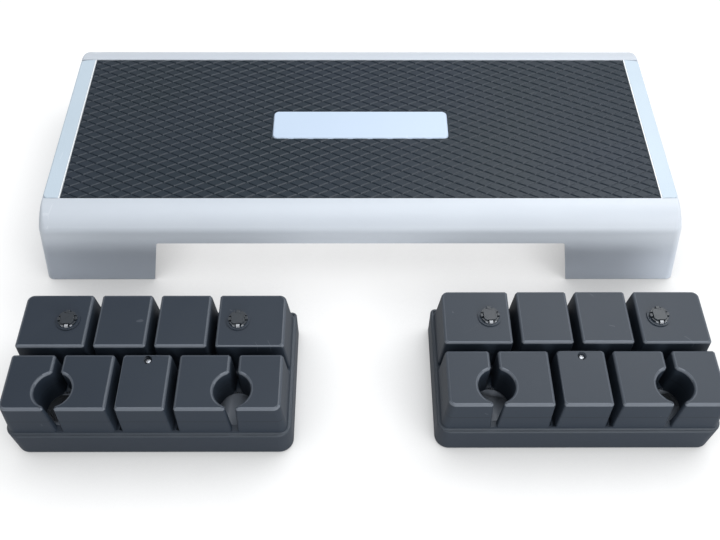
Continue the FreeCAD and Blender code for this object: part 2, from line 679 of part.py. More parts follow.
def block_hollows():
    """The hollow inside each block, open at the foot, leaving a wall round each pocket and round the screw."""
    back_inner = "(Sizes.back_slit / 2)"
    back_step = "(Sizes.block_length / 2 - Sizes.back_outer_block)"
    front_inner = "(Sizes.front_middle_block / 2 + Sizes.front_slit)"
    front_step = "(Sizes.block_length / 2 - Sizes.front_outer_block)"
    end = "(Sizes.block_length / 2)"
    halves = {"back": [(back_inner, f"({back_step} - Sizes.back_slit)"), (back_step, end)],
              "front": [(front_inner, f"({front_step} - Sizes.front_slit)"), (front_step, end)]}
    rows = {"back": (CHANNEL_BACK, "(Sizes.block_depth / 2)"), "front": ("(-Sizes.block_depth / 2)", CHANNEL_FRONT)}
    spans = [("front", "(-Sizes.front_middle_block / 2)", "(Sizes.front_middle_block / 2)")]
    for row, pairs in halves.items():
        for low, high in pairs:
            spans.append((row, low, high))
            spans.append((row, f"(-{high})", f"(-{low})"))
    below, roof = f"({SEAT_Z} - Sizes.overrun)", "(Sizes.riser_height - Sizes.block_wall)"
    hollows = []
    for number, (row, low, high) in enumerate(spans, start=1):
        front, back = rows[row]
        hollows.append(box("hollow_%d" % number,
                           (f"({low} + Sizes.block_wall)", f"({front} + Sizes.block_wall)", below),
                           (f"({high} - Sizes.block_wall)", f"({back} - Sizes.block_wall)", roof)))
    keep = [cylinder("pocket_wall_%d" % number, "(Sizes.pocket_diameter + 2 * Sizes.block_wall)", x, POCKET_Y,
                     below, S + "riser_height")
            for number, x in enumerate((f"(-{POCKET_X})", POCKET_X), start=1)]
    keep.append(cylinder("screw_wall", "(Sizes.screw_well + 2 * Sizes.block_wall)", S + "screw_shift", SCREW_Y,
                         f"({WELL_Z} - Sizes.block_wall)", S + "riser_height"))
    return cut("block_hollows", fuse("hollow_boxes", hollows), fuse("hollow_keep", keep))


def riser_form():
    """The block moulding of a riser before its holes are drilled."""
    foot, head = (FOOT_X, FOOT_Y), ("(Sizes.block_length / 2)", "(Sizes.block_depth / 2)")
    cluster = frustum("cluster", foot, head, SEAT_Z, S + "riser_height")
    seat, floor, top = length(SEAT_Z), length(S + "groove_floor"), length(S + "riser_height")
    corner, upright, mouth = (length(S + name) for name in ("block_corner", "edge_upright", "edge_mouth"))
    pocket_x, pocket_y = length(POCKET_X), length(POCKET_Y)
    mouth_reach = length(S + "mouth_width")

    def cluster_corners(edge):
        span = edge.BoundBox
        return (corner, corner) if same(span.ZMin, seat) and same(span.ZMax, top) else None

    def block_corners(edge):
        span = edge.BoundBox
        if not (same(span.ZMin, floor) and same(span.ZMax, top)):
            return None
        centre = span.Center
        by_mouth = abs(abs(centre.x) - pocket_x) < mouth_reach and centre.y < pocket_y
        return (mouth, mouth) if by_mouth else (upright, upright)

    blank = rounded("cluster_rounded", cluster, cluster_corners)
    blocks = cut("blocks", blank, fuse("riser_spaces", [riser_gaps(), block_hollows()]))
    return rounded("riser_form", blocks, block_corners, "Part::Chamfer")


def stud_rings():
    """The low round seats of the two studs."""
    return [cylinder("stud_ring_%d" % number, S + "stud_ring_diameter", x, STUD_Y,
                     "(Sizes.riser_height - Sizes.block_wall / 2)", RING_Z)
            for number, x in enumerate((f"(-{POCKET_X})", POCKET_X), start=1)]


def riser_holes():
    """The square stud holes and the screw's well in the tops of the blocks."""
    high = f"({RING_Z} + Sizes.overrun)"
    below = "(Sizes.riser_height - Sizes.block_wall - Sizes.overrun)"
    half = "(Sizes.stem_width / 2 + Sizes.seat_gap)"
    holes = [box("stem_hole_%d" % number, (f"({x} - {half})", f"({STUD_Y} - {half})", below),
                 (f"({x} + {half})", f"({STUD_Y} + {half})", high))
             for number, x in enumerate((f"(-{POCKET_X})", POCKET_X), start=1)]
    holes.append(cylinder("screw_well", S + "screw_well", S + "screw_shift", SCREW_Y, WELL_Z, high))
    holes.append(cylinder("screw_hole", "(Sizes.screw_shank + 2 * Sizes.screw_gap)", S + "screw_shift", SCREW_Y,
                          f"({WELL_Z} - Sizes.block_wall - Sizes.screw_gap)", high))
    return fuse("riser_holes", holes)


def pad_places():
    """Name and place of each rubber pad under a riser."""
    for row, way in (("front", "-1"), ("back", "1")):
        for side, sign in (("left", "-1"), ("right", "1")):
            yield (f"{row}_{side}_pad", f"({sign} * ({SLAB_X} - Sizes.pad_inset))",
                   f"({way} * ({SLAB_Y} - Sizes.pad_inset))")


def riser_base(name):
    """The tray under a riser: its rim is the ledge, and a post inside takes the screw."""
    body = new_body(name)
    slab = new_sketch(body, name + "_slab", offset=S + "rim_stand")
    draw_rounded_rectangle(slab, SLAB_X, SLAB_Y, S + "slab_corner")
    pad(body, slab, "Sizes.ledge_height - Sizes.rim_stand")
    seat = new_sketch(body, name + "_seat", offset=S + "ledge_height")
    draw_rounded_rectangle(seat, f"({FOOT_X} + Sizes.seat_gap)", f"({FOOT_Y} + Sizes.seat_gap)", S + "block_corner")
    pocket(body, seat, S + "seat_depth")
    tray = new_sketch(body, name + "_tray", offset=SEAT_Z)
    draw_rounded_rectangle(tray, f"({FOOT_X} - Sizes.shelf_width)", f"({FOOT_Y} - Sizes.shelf_width)",
                           S + "block_corner")
    floor = "(Sizes.rim_stand + Sizes.tray_floor)"
    pocket(body, tray, f"{SEAT_Z} - {floor}")
    post = new_sketch(body, name + "_post", offset=floor)
    bore = "(Sizes.screw_shank / 2 + Sizes.screw_gap)"
    draw_circles(post, f"({bore} + Sizes.post_wall)", [(S + "screw_shift", SCREW_Y)])
    post_top = f"({WELL_Z} - Sizes.block_wall)"
    pad(body, post, f"{post_top} - {floor}")
    thread = new_sketch(body, name + "_thread", offset=post_top)
    draw_circles(thread, bore, [(S + "screw_shift", SCREW_Y)])
    pocket(body, thread, S + "screw_length")
    pads = new_sketch(body, name + "_pads", offset=S + "rim_stand")
    for _, x, y in pad_places():
        draw_rectangle(pads, x, y, "(Sizes.pad_length / 2 + Sizes.seat_gap)", "(Sizes.pad_width / 2 + Sizes.seat_gap)")
    pocket(body, pads, "Sizes.pad_height - Sizes.rim_stand", upwards=True)
    rim, ledge = length(S + "rim_stand"), length(S + "ledge_height")
    seat_x, seat_y = length(f"({FOOT_X} + Sizes.seat_gap)"), length(f"({FOOT_Y} + Sizes.seat_gap)")
    plain = body.Tip
    outer = []
    for number, edge in enumerate(plain.Shape.Edges, start=1):
        span = edge.BoundBox
        level = same(span.ZMin, span.ZMax) and (same(span.ZMin, rim) or same(span.ZMin, ledge))
        middle = edge.valueAt((edge.FirstParameter + edge.LastParameter) / 2)
        beyond_seat = abs(middle.y) > seat_y + CLOSE or abs(middle.x) > seat_x + CLOSE
        if level and beyond_seat:
            outer.append("Edge%d" % number)
    bevel = body.newObject("PartDesign::Chamfer", name + "_bevel")
    bevel.Base = (plain, outer)
    bind(bevel, Size=S + "slab_bevel")
    body.Tip = bevel
    return body


def stud(name):
    """A castle-shaped snap stud: notched crown, raised disc, and a square stem down through the block's top."""
    body = new_body(name)
    crown = new_sketch(body, name + "_crown", offset=RING_Z)
    draw_circles(crown, "(Sizes.stud_diameter / 2)", [("0", "0")])
    pad(body, crown, "Sizes.stud_height - Sizes.stud_ring_height - Sizes.stud_crown")
    notch = new_sketch(body, name + "_notch", offset="Sizes.riser_height + Sizes.stud_height")
    near, far = "(Sizes.stud_disc / 2)", "(Sizes.stud_diameter / 2 + Sizes.overrun)"
    draw_rectangle(notch, f"(({near} + {far}) / 2)", "0", f"(({far} - {near}) / 2)", "(Sizes.notch_width / 2)")
    notches = pocket(body, notch, "Sizes.stud_crown + Sizes.notch_depth")
    ring_of_notches = body.newObject("PartDesign::PolarPattern", name + "_notches")
    ring_of_notches.Originals = [notches]
    axis = [feature for feature in body.Origin.OriginFeatures if feature.Role == "Z_Axis"][0]
    ring_of_notches.Axis = (axis, [""])
    ring_of_notches.Angle = 360
    ring_of_notches.Occurrences = 4
    body.Tip = ring_of_notches
    doc.recompute()
    disc = new_sketch(body, name + "_disc", offset=RING_Z)
    draw_circles(disc, "(Sizes.stud_disc / 2)", [("0", "0")])
    pad(body, disc, "Sizes.stud_height - Sizes.stud_ring_height")
    stem = new_sketch(body, name + "_stem", offset=f"{RING_Z} - Sizes.stem_length")
    draw_rectangle(stem, "0", "0", "(Sizes.stem_width / 2)", "(Sizes.stem_width / 2)")
    pad(body, stem, S + "stem_length")
    return body


def screw(name):
    """The screw that holds a riser's two mouldings together."""
    body = new_body(name)
    head = new_sketch(body, name + "_head", offset=WELL_Z)
    draw_circles(head, "(Sizes.screw_head / 2)", [("0", "0")])
    pad(body, head, S + "screw_head_height")
    shank = new_sketch(body, name + "_shank", offset=f"{WELL_Z} - Sizes.screw_length")
    draw_circles(shank, "(Sizes.screw_shank / 2)", [("0", "0")])
    pad(body, shank, S + "screw_length")
    return body


# The platform's pieces stand about its middle
nodes = []
for piece in deck_shell() + step_mat() + badge_plate() + end_strips():
    nodes.append(place(piece, y=PLATFORM_Y))
for name, x, y in foot_places():
    nodes.append(rubber_bar(name, x, f"({PLATFORM_Y} + {y})", S + "bar_length", S + "bar_width", S + "bar_height"))
for name, x, y in sleeve_places():
    nodes.append(sleeve(name, x, f"({PLATFORM_Y} + {y})"))

# The two risers are alike; each is drilled, fitted out and set in its own place
form, holes = fuse("riser_seats", [riser_form()] + stud_rings()), riser_holes()
for side, sign in (("left", "-1"), ("right", "1")):
    middle_x = f"({sign} * Sizes.{side}_riser_aside)"
    middle_y = f"({PLATFORM_Y} - Sizes.{side}_riser_forward)"
    nodes.append(place(cut(side + "_riser_top", form, holes), middle_x, middle_y))
    nodes.append(place(riser_base(side + "_riser_base"), middle_x, middle_y))
    nodes.append(place(stud(side + "_riser_left_stud"), f"{middle_x} - {POCKET_X}", f"{middle_y} + {STUD_Y}"))
    nodes.append(place(stud(side + "_riser_right_stud"), f"{middle_x} + {POCKET_X}", f"{middle_y} + {STUD_Y}"))
    nodes.append(place(screw(side + "_riser_screw"), f"{middle_x} + Sizes.screw_shift", f"{middle_y} + {SCREW_Y}"))
    for name, x, y in pad_places():
        nodes.append(rubber_bar(f"{side}_riser_{name}", f"({middle_x} + {x})", f"({middle_y} + {y})",
                                S + "pad_length", S + "pad_width", S + "pad_height"))
doc.recompute()

# Checks, then one file for each piece
for thing in doc.Objects:
    if "Invalid" in thing.State or "Error" in thing.State:
        raise RuntimeError("%s did not build" % thing.Name)
os.makedirs("parts", exist_ok=True)
for node in nodes:
    shape = node.Shape
    if shape.isNull() or not shape.isValid() or len(shape.Solids) != 1:
        raise RuntimeError("%s is not one sound solid" % node.Name)
    shape.exportStep("parts/%s.step" % node.Name)
print(len(nodes), "pieces written")
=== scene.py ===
# %% [markdown]
# # An aerobic step and its two risers
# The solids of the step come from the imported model: a grey hollow platform, a dark mat with a raised
# tread, a pale plate and two pale strips let into the top, and two black riser blocks that stand in
# front of it. This lesson gives those solids their finishes, and models what is too fine for the solids:
# the diamond tread, the rounded edges of the blocks and strips, the snap studs, the screws and the small
# marks of use. Everything is in metres and in the frame of the solids.

# %% Load the solids
import json
import math

import bmesh
import bpy
from mathutils import Matrix, Vector


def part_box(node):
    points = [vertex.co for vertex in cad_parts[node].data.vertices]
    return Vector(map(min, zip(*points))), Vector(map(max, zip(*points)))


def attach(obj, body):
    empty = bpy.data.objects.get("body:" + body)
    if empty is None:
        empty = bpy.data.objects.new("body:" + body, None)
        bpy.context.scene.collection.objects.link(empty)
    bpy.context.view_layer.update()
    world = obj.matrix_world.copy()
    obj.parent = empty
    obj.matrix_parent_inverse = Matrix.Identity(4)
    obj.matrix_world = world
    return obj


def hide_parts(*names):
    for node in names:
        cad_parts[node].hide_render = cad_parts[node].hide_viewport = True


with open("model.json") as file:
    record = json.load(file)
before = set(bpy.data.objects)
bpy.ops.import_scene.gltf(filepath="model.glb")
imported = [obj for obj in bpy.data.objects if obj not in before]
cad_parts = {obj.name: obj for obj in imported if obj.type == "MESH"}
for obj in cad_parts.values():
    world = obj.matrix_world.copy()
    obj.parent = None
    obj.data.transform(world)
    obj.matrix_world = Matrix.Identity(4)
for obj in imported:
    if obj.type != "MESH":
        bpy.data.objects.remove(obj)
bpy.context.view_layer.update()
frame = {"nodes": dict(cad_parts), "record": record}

nodes = frame["nodes"]

# %% [markdown]
# ## Camera
# The photograph was taken by hand from in front of the risers, looking down at about 55 degrees. The
# camera's place and lens were worked out from the corners of the mat, the legs and the risers. A camera
# looks along its own -Z, so it is turned up from straight down, then to its heading, with a small roll
# for the hand that held it.

# %% Camera
scene = bpy.context.scene
scene.view_settings.view_transform = "Standard"
LENS, SENSOR_WIDTH = 40.91, 36.0
CAMERA_PLACE = (-0.0051, -0.6570, 0.8912)
LOOK_DOWN = math.radians(54.85)
HEADING = math.radians(-0.41)
HAND_ROLL = math.radians(0.31)
camera_data = bpy.data.cameras.new("camera")
camera_data.lens = LENS
camera_data.sensor_width = SENSOR_WIDTH
camera = bpy.data.objects.new("camera", camera_data)
scene.collection.objects.link(camera)
tilt = Matrix.Rotation(math.pi / 2 - LOOK_DOWN, 4, "X")
turn = Matrix.Rotation(HEADING, 4, "Z")
roll = Matrix.Rotation(HAND_ROLL, 4, "Z")
camera.matrix_world = Matrix.Translation(CAMERA_PLACE) @ turn @ tilt @ roll
scene.camera = camera
print("camera at", CAMERA_PLACE, "lens", LENS)

# %% [markdown]
# ## Tools for nodes and meshes
# Every look is a small network of nodes, and so are the finer shapes. The same few helpers build them
# all: one places a node and fills its inputs, one does a sum, one mixes two colours, one opens a group
# with named inputs, and one turns a finished form into an object.

# %% Node helpers
FLOAT, VECTOR, WHOLE = "NodeSocketFloat", "NodeSocketVector", "NodeSocketInt"
MATERIAL, GEOMETRY = "NodeSocketMaterial", "NodeSocketGeometry"


def fill(tree, socket, value):
    """Links an input to a socket, or sets it to a plain value."""
    if isinstance(value, bpy.types.NodeSocket):
        tree.links.new(value, socket)
    else:
        socket.default_value = value


def node_in(tree, kind, inputs, **settings):
    """The first output of a new node, whose inputs are linked to sockets or set to values."""
    node = tree.nodes.new(kind)
    for name, value in settings.items():
        setattr(node, name, value)
    for name, value in inputs.items():
        fill(tree, node.inputs[name], value)
    return node.outputs[0]


def combine(tree, operation, first, second):
    """A sum of two numbers, each a socket or a plain value."""
    return node_in(tree, "ShaderNodeMath", {0: first, 1: second}, operation=operation)


def within(tree, reading, middle, reach):
    """One where a reading is no farther from the middle than the reach, else zero."""
    return node_in(tree, "ShaderNodeMath", {0: reading, 1: middle, 2: reach}, operation="COMPARE")


def blend(tree, share, first, second):
    """A mix of two colours: all of the first where the share is zero, all of the second where it is one."""
    node = tree.nodes.new("ShaderNodeMix")
    node.data_type = "RGBA"
    fill(tree, node.inputs["Factor"], share)
    for name, colour in (("A", first), ("B", second)):
        fill(tree, node.inputs[name], (*colour, 1.0) if isinstance(colour, tuple) else colour)
    return node.outputs["Result"]


def new_group(name, kind, inputs, outputs):
    """An empty node group, the sockets that bring its inputs in, and the sockets that take its outputs."""
    group = bpy.data.node_groups.new(name, kind)
    for label, socket_kind, value in inputs:
        socket = group.interface.new_socket(label, in_out="INPUT", socket_type=socket_kind)
        if value is not None:
            socket.default_value = value
    for label, socket_kind in outputs:
        group.interface.new_socket(label, in_out="OUTPUT", socket_type=socket_kind)
    return group, group.nodes.new("NodeGroupInput").outputs, group.nodes.new("NodeGroupOutput").inputs


# %% Mesh helper
def piece_from(name, form, finish=None):
    """A new object with the form as its mesh; the form is freed."""
    mesh = bpy.data.meshes.new(name)
    form.to_mesh(mesh)
    form.free()
    if finish:
        mesh.materials.append(finish)
    piece = bpy.data.objects.new(name, mesh)
    scene.collection.objects.link(piece)
    return piece


# %% [markdown]
# ## Light and floor
# The picture has a white ground with soft shadows close to the object. A large soft lamp overhead lights
# the tops, a strip at the front right gives the front edges of the blocks their bright lines, a low fill
# lights the faces that look forward, a window on the right makes the dark tops paler towards that side,
# and a pale world fills the rest. To the camera, and in reflections, the world is white. The floor
# throws light back as pale paint does; to the camera it is partly paint and partly glow, so it reads as
# white while the shadow stays. The glow fades close to the object, where little of the room can be seen
# from the floor, which gives the soft dark rim at the feet of the risers.

# %% World
SKY_COLOUR, SKY_STRENGTH = (0.90, 0.95, 1.0, 1.0), 0.34
WHITE = (1.0, 1.0, 1.0, 1.0)


def shows_white(tree):
    """One where the ray comes from the camera, from a reflection or from a view through glass, else zero."""
    ray = tree.nodes.new("ShaderNodeLightPath")
    total = ray.outputs["Is Camera Ray"]
    for label in ("Is Glossy Ray", "Is Transmission Ray"):
        total = combine(tree, "MAXIMUM", total, ray.outputs[label])
    return total


world = bpy.data.worlds.new("studio")
scene.world = world
world.use_nodes = True
tree = world.node_tree
tree.nodes.clear()
sky = node_in(tree, "ShaderNodeBackground", {"Color": SKY_COLOUR, "Strength": SKY_STRENGTH})
white = node_in(tree, "ShaderNodeBackground", {"Color": WHITE, "Strength": 1.0})
chosen = node_in(tree, "ShaderNodeMixShader", {"Fac": shows_white(tree), 1: sky, 2: white})
tree.links.new(chosen, tree.nodes.new("ShaderNodeOutputWorld").inputs["Surface"])
print("world:", world.name, "sky strength", SKY_STRENGTH)

# %% Lamps
COOL_LIGHT, DAYLIGHT, WARM_LIGHT = (0.94, 0.97, 1.0), (0.97, 0.99, 1.0), (1.0, 0.99, 0.97)
STEP_MIDDLE = (0.0, 0.0, 0.1)


def soft_lamp(name, place, target, width, depth, power, colour):
    """A rectangular area lamp that faces its target, with its power in watts."""
    data = bpy.data.lights.new(name, "AREA")
    data.shape = "RECTANGLE"
    data.size, data.size_y = width, depth
    data.energy = power
    data.color = colour
    lamp = bpy.data.objects.new(name, data)
    scene.collection.objects.link(lamp)
    facing = (Vector(target) - Vector(place)).to_track_quat("-Z", "Y")
    lamp.matrix_world = Matrix.Translation(place) @ facing.to_matrix().to_4x4()


soft_lamp("overhead_window", place=(0.1, 0.0, 2.5), target=STEP_MIDDLE, width=2.2, depth=1.4, power=30.0,
          colour=COOL_LIGHT)
soft_lamp("front_strip", place=(1.6, -1.4, 1.7), target=STEP_MIDDLE, width=0.9, depth=0.5, power=13.0,
          colour=WARM_LIGHT)
soft_lamp("front_fill", place=(0.7, -1.9, 0.55), target=(0.0, 0.1, 0.08), width=1.8, depth=0.5, power=19.0,
          colour=DAYLIGHT)
soft_lamp("right_window", place=(1.15, 0.9, 1.9), target=(0.5, 0.0, 0.1), width=2.0, depth=0.7, power=31.0,
          colour=DAYLIGHT)

# %% Floor
FLOOR_HALF = 6.0
BOUNCE_GREY, SHADOW_GREY = (0.86, 0.86, 0.86, 1.0), (0.28, 0.28, 0.28, 1.0)
FLOOR_GLOW, SHADE_REACH = 0.80, 0.115
floor_finish = bpy.data.materials.new("pale_floor")
floor_finish.use_nodes = True
tree = floor_finish.node_tree
tree.nodes.clear()
paint = node_in(tree, "ShaderNodeBsdfDiffuse", {"Color": BOUNCE_GREY})
shadow_paint = node_in(tree, "ShaderNodeBsdfDiffuse", {"Color": SHADOW_GREY})
openness = node_in(tree, "ShaderNodeAmbientOcclusion", {"Distance": SHADE_REACH})
glow = node_in(tree, "ShaderNodeEmission", {"Color": openness, "Strength": FLOOR_GLOW})
seen = node_in(tree, "ShaderNodeAddShader", {0: shadow_paint, 1: glow})
shown = node_in(tree, "ShaderNodeMixShader", {"Fac": shows_white(tree), 1: paint, 2: seen})
tree.links.new(shown, tree.nodes.new("ShaderNodeOutputMaterial").inputs["Surface"])
form = bmesh.new()
bmesh.ops.create_grid(form, x_segments=1, y_segments=1, size=FLOOR_HALF)
floor = piece_from("floor", form, floor_finish)
print("floor laid, half width", FLOOR_HALF)

# %% [markdown]
# ## Effects that the finishes share
# Several finishes share the same effects: the fine grain of the mould, the scuffs of use, the dust that
# settles on upward faces. Each effect is built once as a node group with named inputs, so a finish only
# places it and sets its values. Patterns read Object coordinates, which are metres here.

# %% Readings of place and slope
def scaled_place(group, given, label):
    """The group's Place input, multiplied by another of its inputs."""
    return node_in(group, "ShaderNodeVectorMath", {0: given["Place"], "Scale": given[label]},
                   operation="SCALE")


def object_place(tree):
    """Where a point is on its object, in metres."""
    return tree.nodes.new("ShaderNodeTexCoord").outputs["Object"]


def parts_of(tree, vector):
    """The X, Y and Z of a vector."""
    return node_in(tree, "ShaderNodeSeparateXYZ", {0: vector}).node.outputs


def upward_share(tree):
    """One on faces that look up, zero on walls, less than zero on faces that look down."""
    return parts_of(tree, tree.nodes.new("ShaderNodeNewGeometry").outputs["Normal"])["Z"]


# %% Mould grain
# The skin of moulded plastic: a fine pebble for the bump, and a slow cloud that shifts colour and gloss.
mould_grain, given, taken = new_group(
    "mould grain", "ShaderNodeTree", (("Place", VECTOR, None), ("Pebbles per metre", FLOAT, 900.0)),
    (("Height", FLOAT), ("Cloud", FLOAT)))
where = scaled_place(mould_grain, given, "Pebbles per metre")
pebble = node_in(mould_grain, "ShaderNodeTexVoronoi", {"Vector": where, "Scale": 1.0, "Smoothness": 0.6},
                 feature="SMOOTH_F1")
cloud = node_in(mould_grain, "ShaderNodeTexNoise",
                {"Vector": given["Place"], "Scale": 7.0, "Detail": 3.0, "Roughness": 0.55})
mould_grain.links.new(pebble, taken["Height"])
mould_grain.links.new(cloud, taken["Cloud"])
print("mould grain:", len(mould_grain.nodes), "nodes")

# %% Scuffs
# Thin scratches that run every way, kept to a few places by a slow noise.
SCRATCH_BEND = (2.2, 2.2, 2.2)
scuffs, given, taken = new_group(
    "scuffs", "ShaderNodeTree",
    (("Place", VECTOR, None), ("Scratches per metre", FLOAT, 18.0), ("Fineness", FLOAT, 0.012),
     ("Spread", FLOAT, 0.55)), (("Mask", FLOAT),))
where = scaled_place(scuffs, given, "Scratches per metre")
bend = node_in(scuffs, "ShaderNodeTexNoise", {"Vector": where, "Scale": 0.9, "Detail": 1.0})
shifted = node_in(scuffs, "ShaderNodeVectorMath", {0: bend.node.outputs["Color"], 1: SCRATCH_BEND, 2: where},
                  operation="MULTIPLY_ADD")
lines = node_in(scuffs, "ShaderNodeTexVoronoi", {"Vector": shifted, "Scale": 1.0}, feature="DISTANCE_TO_EDGE")
thin = combine(scuffs, "LESS_THAN", lines, given["Fineness"])
patches = node_in(scuffs, "ShaderNodeTexNoise", {"Vector": where, "Scale": 1.7, "Detail": 2.0})
few = combine(scuffs, "GREATER_THAN", patches, given["Spread"])
scuffs.links.new(combine(scuffs, "MULTIPLY", thin, few), taken["Mask"])
print("scuffs:", len(scuffs.nodes), "nodes")

# %% Settled dust
# Dust lies in clouds on faces that look up.
DUST_STARTS = 0.4
dust, given, taken = new_group(
    "settled dust", "ShaderNodeTree", (("Place", VECTOR, None),), (("Film", FLOAT),))
upward = node_in(dust, "ShaderNodeMapRange",
                 {"Value": upward_share(dust), "From Min": DUST_STARTS, "From Max": 1.0})
clouds = node_in(dust, "ShaderNodeTexNoise",
                 {"Vector": given["Place"], "Scale": 11.0, "Detail": 5.0, "Roughness": 0.6})
dust.links.new(combine(dust, "MULTIPLY", upward, clouds), taken["Film"])
print("groups:", [group.name for group in bpy.data.node_groups])

# %% [markdown]
# ## Moulded plastic
# The shell, the strips, the plate and the risers are all moulded, so one recipe serves them: a base
# colour that drifts a little from place to place, a film of dust, a few scuffs that are lighter than the
# skin, and the pebble of the mould in the bump. On the risers steep walls are rougher than tops, because
# nothing rubs them. Where a piece carries the face attribute of wear and highlight, its skin is painted
# paler there: partly real wear, partly painted highlight where edges, flanks and floors catch the light.
# The shell is painted darker towards the floor, a painted shade under the rail, and the walls of the
# blocks carry the faint line where the two halves of their mould met. Only the values differ.

# %% Moulded plastic
DUST_COLOUR, SCUFF_STRENGTH = (0.45, 0.46, 0.48), 0.35
# Painted shade: heights between which the shell's skin turns to its darker foot colour.
FOOT_SHADE_TOP, FOOT_SHADE_BOTTOM = 0.09, 0.05
PARTING_COLOUR, PARTING_REACH, PARTING_STRENGTH = (0.002, 0.003, 0.004), 0.0006, 0.45
WALL_SLOPE, TOP_SLOPE = 0.2, 0.6
finishes = {}


def moulded(slot, colour, cloud_colour, scuff_colour, rough, pebbles, depth, film, scratches, spread,
            rough_drift=0.06, shine=0.5, wear_and_highlight_colour=None, wall_rough=0.0, foot_shade_colour=None,
            parting_height=None):
    """A moulded plastic; wear and painted highlight, painted shade at the foot and a mould line only where
    they are asked for.
    """
    finish = bpy.data.materials.new(slot)
    finish.use_nodes = True
    tree = finish.node_tree
    shader = tree.nodes["Principled BSDF"]
    place = object_place(tree)
    grain = node_in(tree, "ShaderNodeGroup", {"Place": place, "Pebbles per metre": pebbles},
                    node_tree=mould_grain)
    cloud = grain.node.outputs["Cloud"]
    marks = node_in(tree, "ShaderNodeGroup",
                    {"Place": place, "Scratches per metre": scratches, "Spread": spread}, node_tree=scuffs)
    veil = node_in(tree, "ShaderNodeGroup", {"Place": place}, node_tree=dust)
    skin = blend(tree, cloud, colour, cloud_colour)
    skin = blend(tree, combine(tree, "MULTIPLY", veil, film), skin, DUST_COLOUR)
    skin = blend(tree, combine(tree, "MULTIPLY", marks, SCUFF_STRENGTH), skin, scuff_colour)
    # Wear and painted highlight: faces that carry the attribute are painted paler.
    if wear_and_highlight_colour:
        wear_and_highlight = node_in(tree, "ShaderNodeAttribute", {}, attribute_name="wear_and_highlight").node.outputs["Fac"]
        skin = blend(tree, wear_and_highlight, skin, wear_and_highlight_colour)
    height = parts_of(tree, place)["Z"]
    # Painted shade: the skin is darkened towards the floor.
    if foot_shade_colour:
        low = node_in(tree, "ShaderNodeMapRange",
                      {"Value": height, "From Min": FOOT_SHADE_TOP, "From Max": FOOT_SHADE_BOTTOM})
        skin = blend(tree, low, skin, foot_shade_colour)
    if parting_height:
        line = within(tree, height, parting_height, PARTING_REACH)
        skin = blend(tree, combine(tree, "MULTIPLY", line, PARTING_STRENGTH), skin, PARTING_COLOUR)
    gloss = node_in(tree, "ShaderNodeMapRange",
                    {"Value": cloud, "To Min": rough - rough_drift, "To Max": rough + rough_drift})
    steep = node_in(tree, "ShaderNodeMapRange",
                    {"Value": upward_share(tree), "From Min": WALL_SLOPE, "From Max": TOP_SLOPE,
                     "To Min": wall_rough, "To Max": 0.0})
    bump = node_in(tree, "ShaderNodeBump", {"Strength": 1.0, "Distance": depth, "Height": grain})
    looks = {"Base Color": skin, "Roughness": combine(tree, "ADD", gloss, steep), "Normal": bump,
             "Specular IOR Level": shine}
    for name, value in looks.items():
        fill(tree, shader.inputs[name], value)
    finishes[slot] = finish
    return finish


# %% Plastics of the platform
# The shell's foot colour paints shade onto the legs, darker towards the floor.
shell_plastic = moulded(
    "shell_plastic", colour=(0.48, 0.51, 0.56), cloud_colour=(0.54, 0.575, 0.62),
    scuff_colour=(0.64, 0.66, 0.70), rough=0.42, pebbles=900.0, depth=0.00006, film=0.06, scratches=9.0,
    spread=0.66, foot_shade_colour=(0.475, 0.515, 0.58))
strip_plastic = moulded(
    "strip_plastic", colour=(0.41, 0.49, 0.56), cloud_colour=(0.53, 0.61, 0.68),
    scuff_colour=(0.66, 0.70, 0.75), rough=0.50, pebbles=700.0, depth=0.00012, film=0.08, scratches=14.0,
    spread=0.66)
moulded(
    "plate_plastic", colour=(0.47, 0.56, 0.69), cloud_colour=(0.51, 0.60, 0.72),
    scuff_colour=(0.62, 0.68, 0.76), rough=0.38, rough_drift=0.05, pebbles=1200.0, depth=0.00003,
    film=0.03, scratches=16.0, spread=0.69)
moulded(
    "sleeve_plastic", colour=(0.070, 0.074, 0.080), cloud_colour=(0.085, 0.088, 0.094),
    scuff_colour=(0.2, 0.2, 0.2), rough=0.42, pebbles=1200.0, depth=0.00004, film=0.02, scratches=30.0,
    spread=0.66)
moulded(
    "foot_rubber", colour=(0.020, 0.020, 0.022), cloud_colour=(0.030, 0.030, 0.032),
    scuff_colour=(0.1, 0.1, 0.1), rough=0.75, rough_drift=0.08, pebbles=1600.0, depth=0.00006, film=0.05,
    scratches=30.0, spread=0.66)
print("moulded finishes:", list(finishes))

# %% Plastics of the risers
MOULD_LINE, RISER_WALL_ROUGH = 0.0695, 0.22
# The paler colour on the risers' edges is partly wear, partly painted highlight; on the pocket floors it is
# painted light.
riser_plastic = moulded(
    "riser_plastic", colour=(0.014, 0.021, 0.033), cloud_colour=(0.022, 0.030, 0.042),
    scuff_colour=(0.10, 0.11, 0.13), rough=0.38, pebbles=1000.0, depth=0.00004, film=0.012,
    scratches=16.0, spread=0.69, shine=0.20, wear_and_highlight_colour=(0.15, 0.165, 0.19), wall_rough=RISER_WALL_ROUGH,
    parting_height=MOULD_LINE)
# The slab's paler colour paints a highlight on the ledge and light on the pocket floors.
base_plastic = moulded(
    "base_plastic", colour=(0.013, 0.020, 0.031), cloud_colour=(0.020, 0.027, 0.039),
    scuff_colour=(0.09, 0.10, 0.12), rough=0.42, pebbles=1000.0, depth=0.00004, film=0.012,
    scratches=16.0, spread=0.69, shine=0.22, wear_and_highlight_colour=(0.22, 0.24, 0.26), wall_rough=RISER_WALL_ROUGH)
# The studs' paler colour is a painted highlight on the front tab.
stud_plastic = moulded(
    "stud_plastic", colour=(0.016, 0.021, 0.027), cloud_colour=(0.026, 0.031, 0.038),
    scuff_colour=(0.2, 0.2, 0.2), rough=0.34, pebbles=1400.0, depth=0.00003, film=0.01, scratches=40.0,
    spread=0.69, shine=0.30, wear_and_highlight_colour=(0.42, 0.43, 0.45))
print("moulded finishes:", list(finishes))
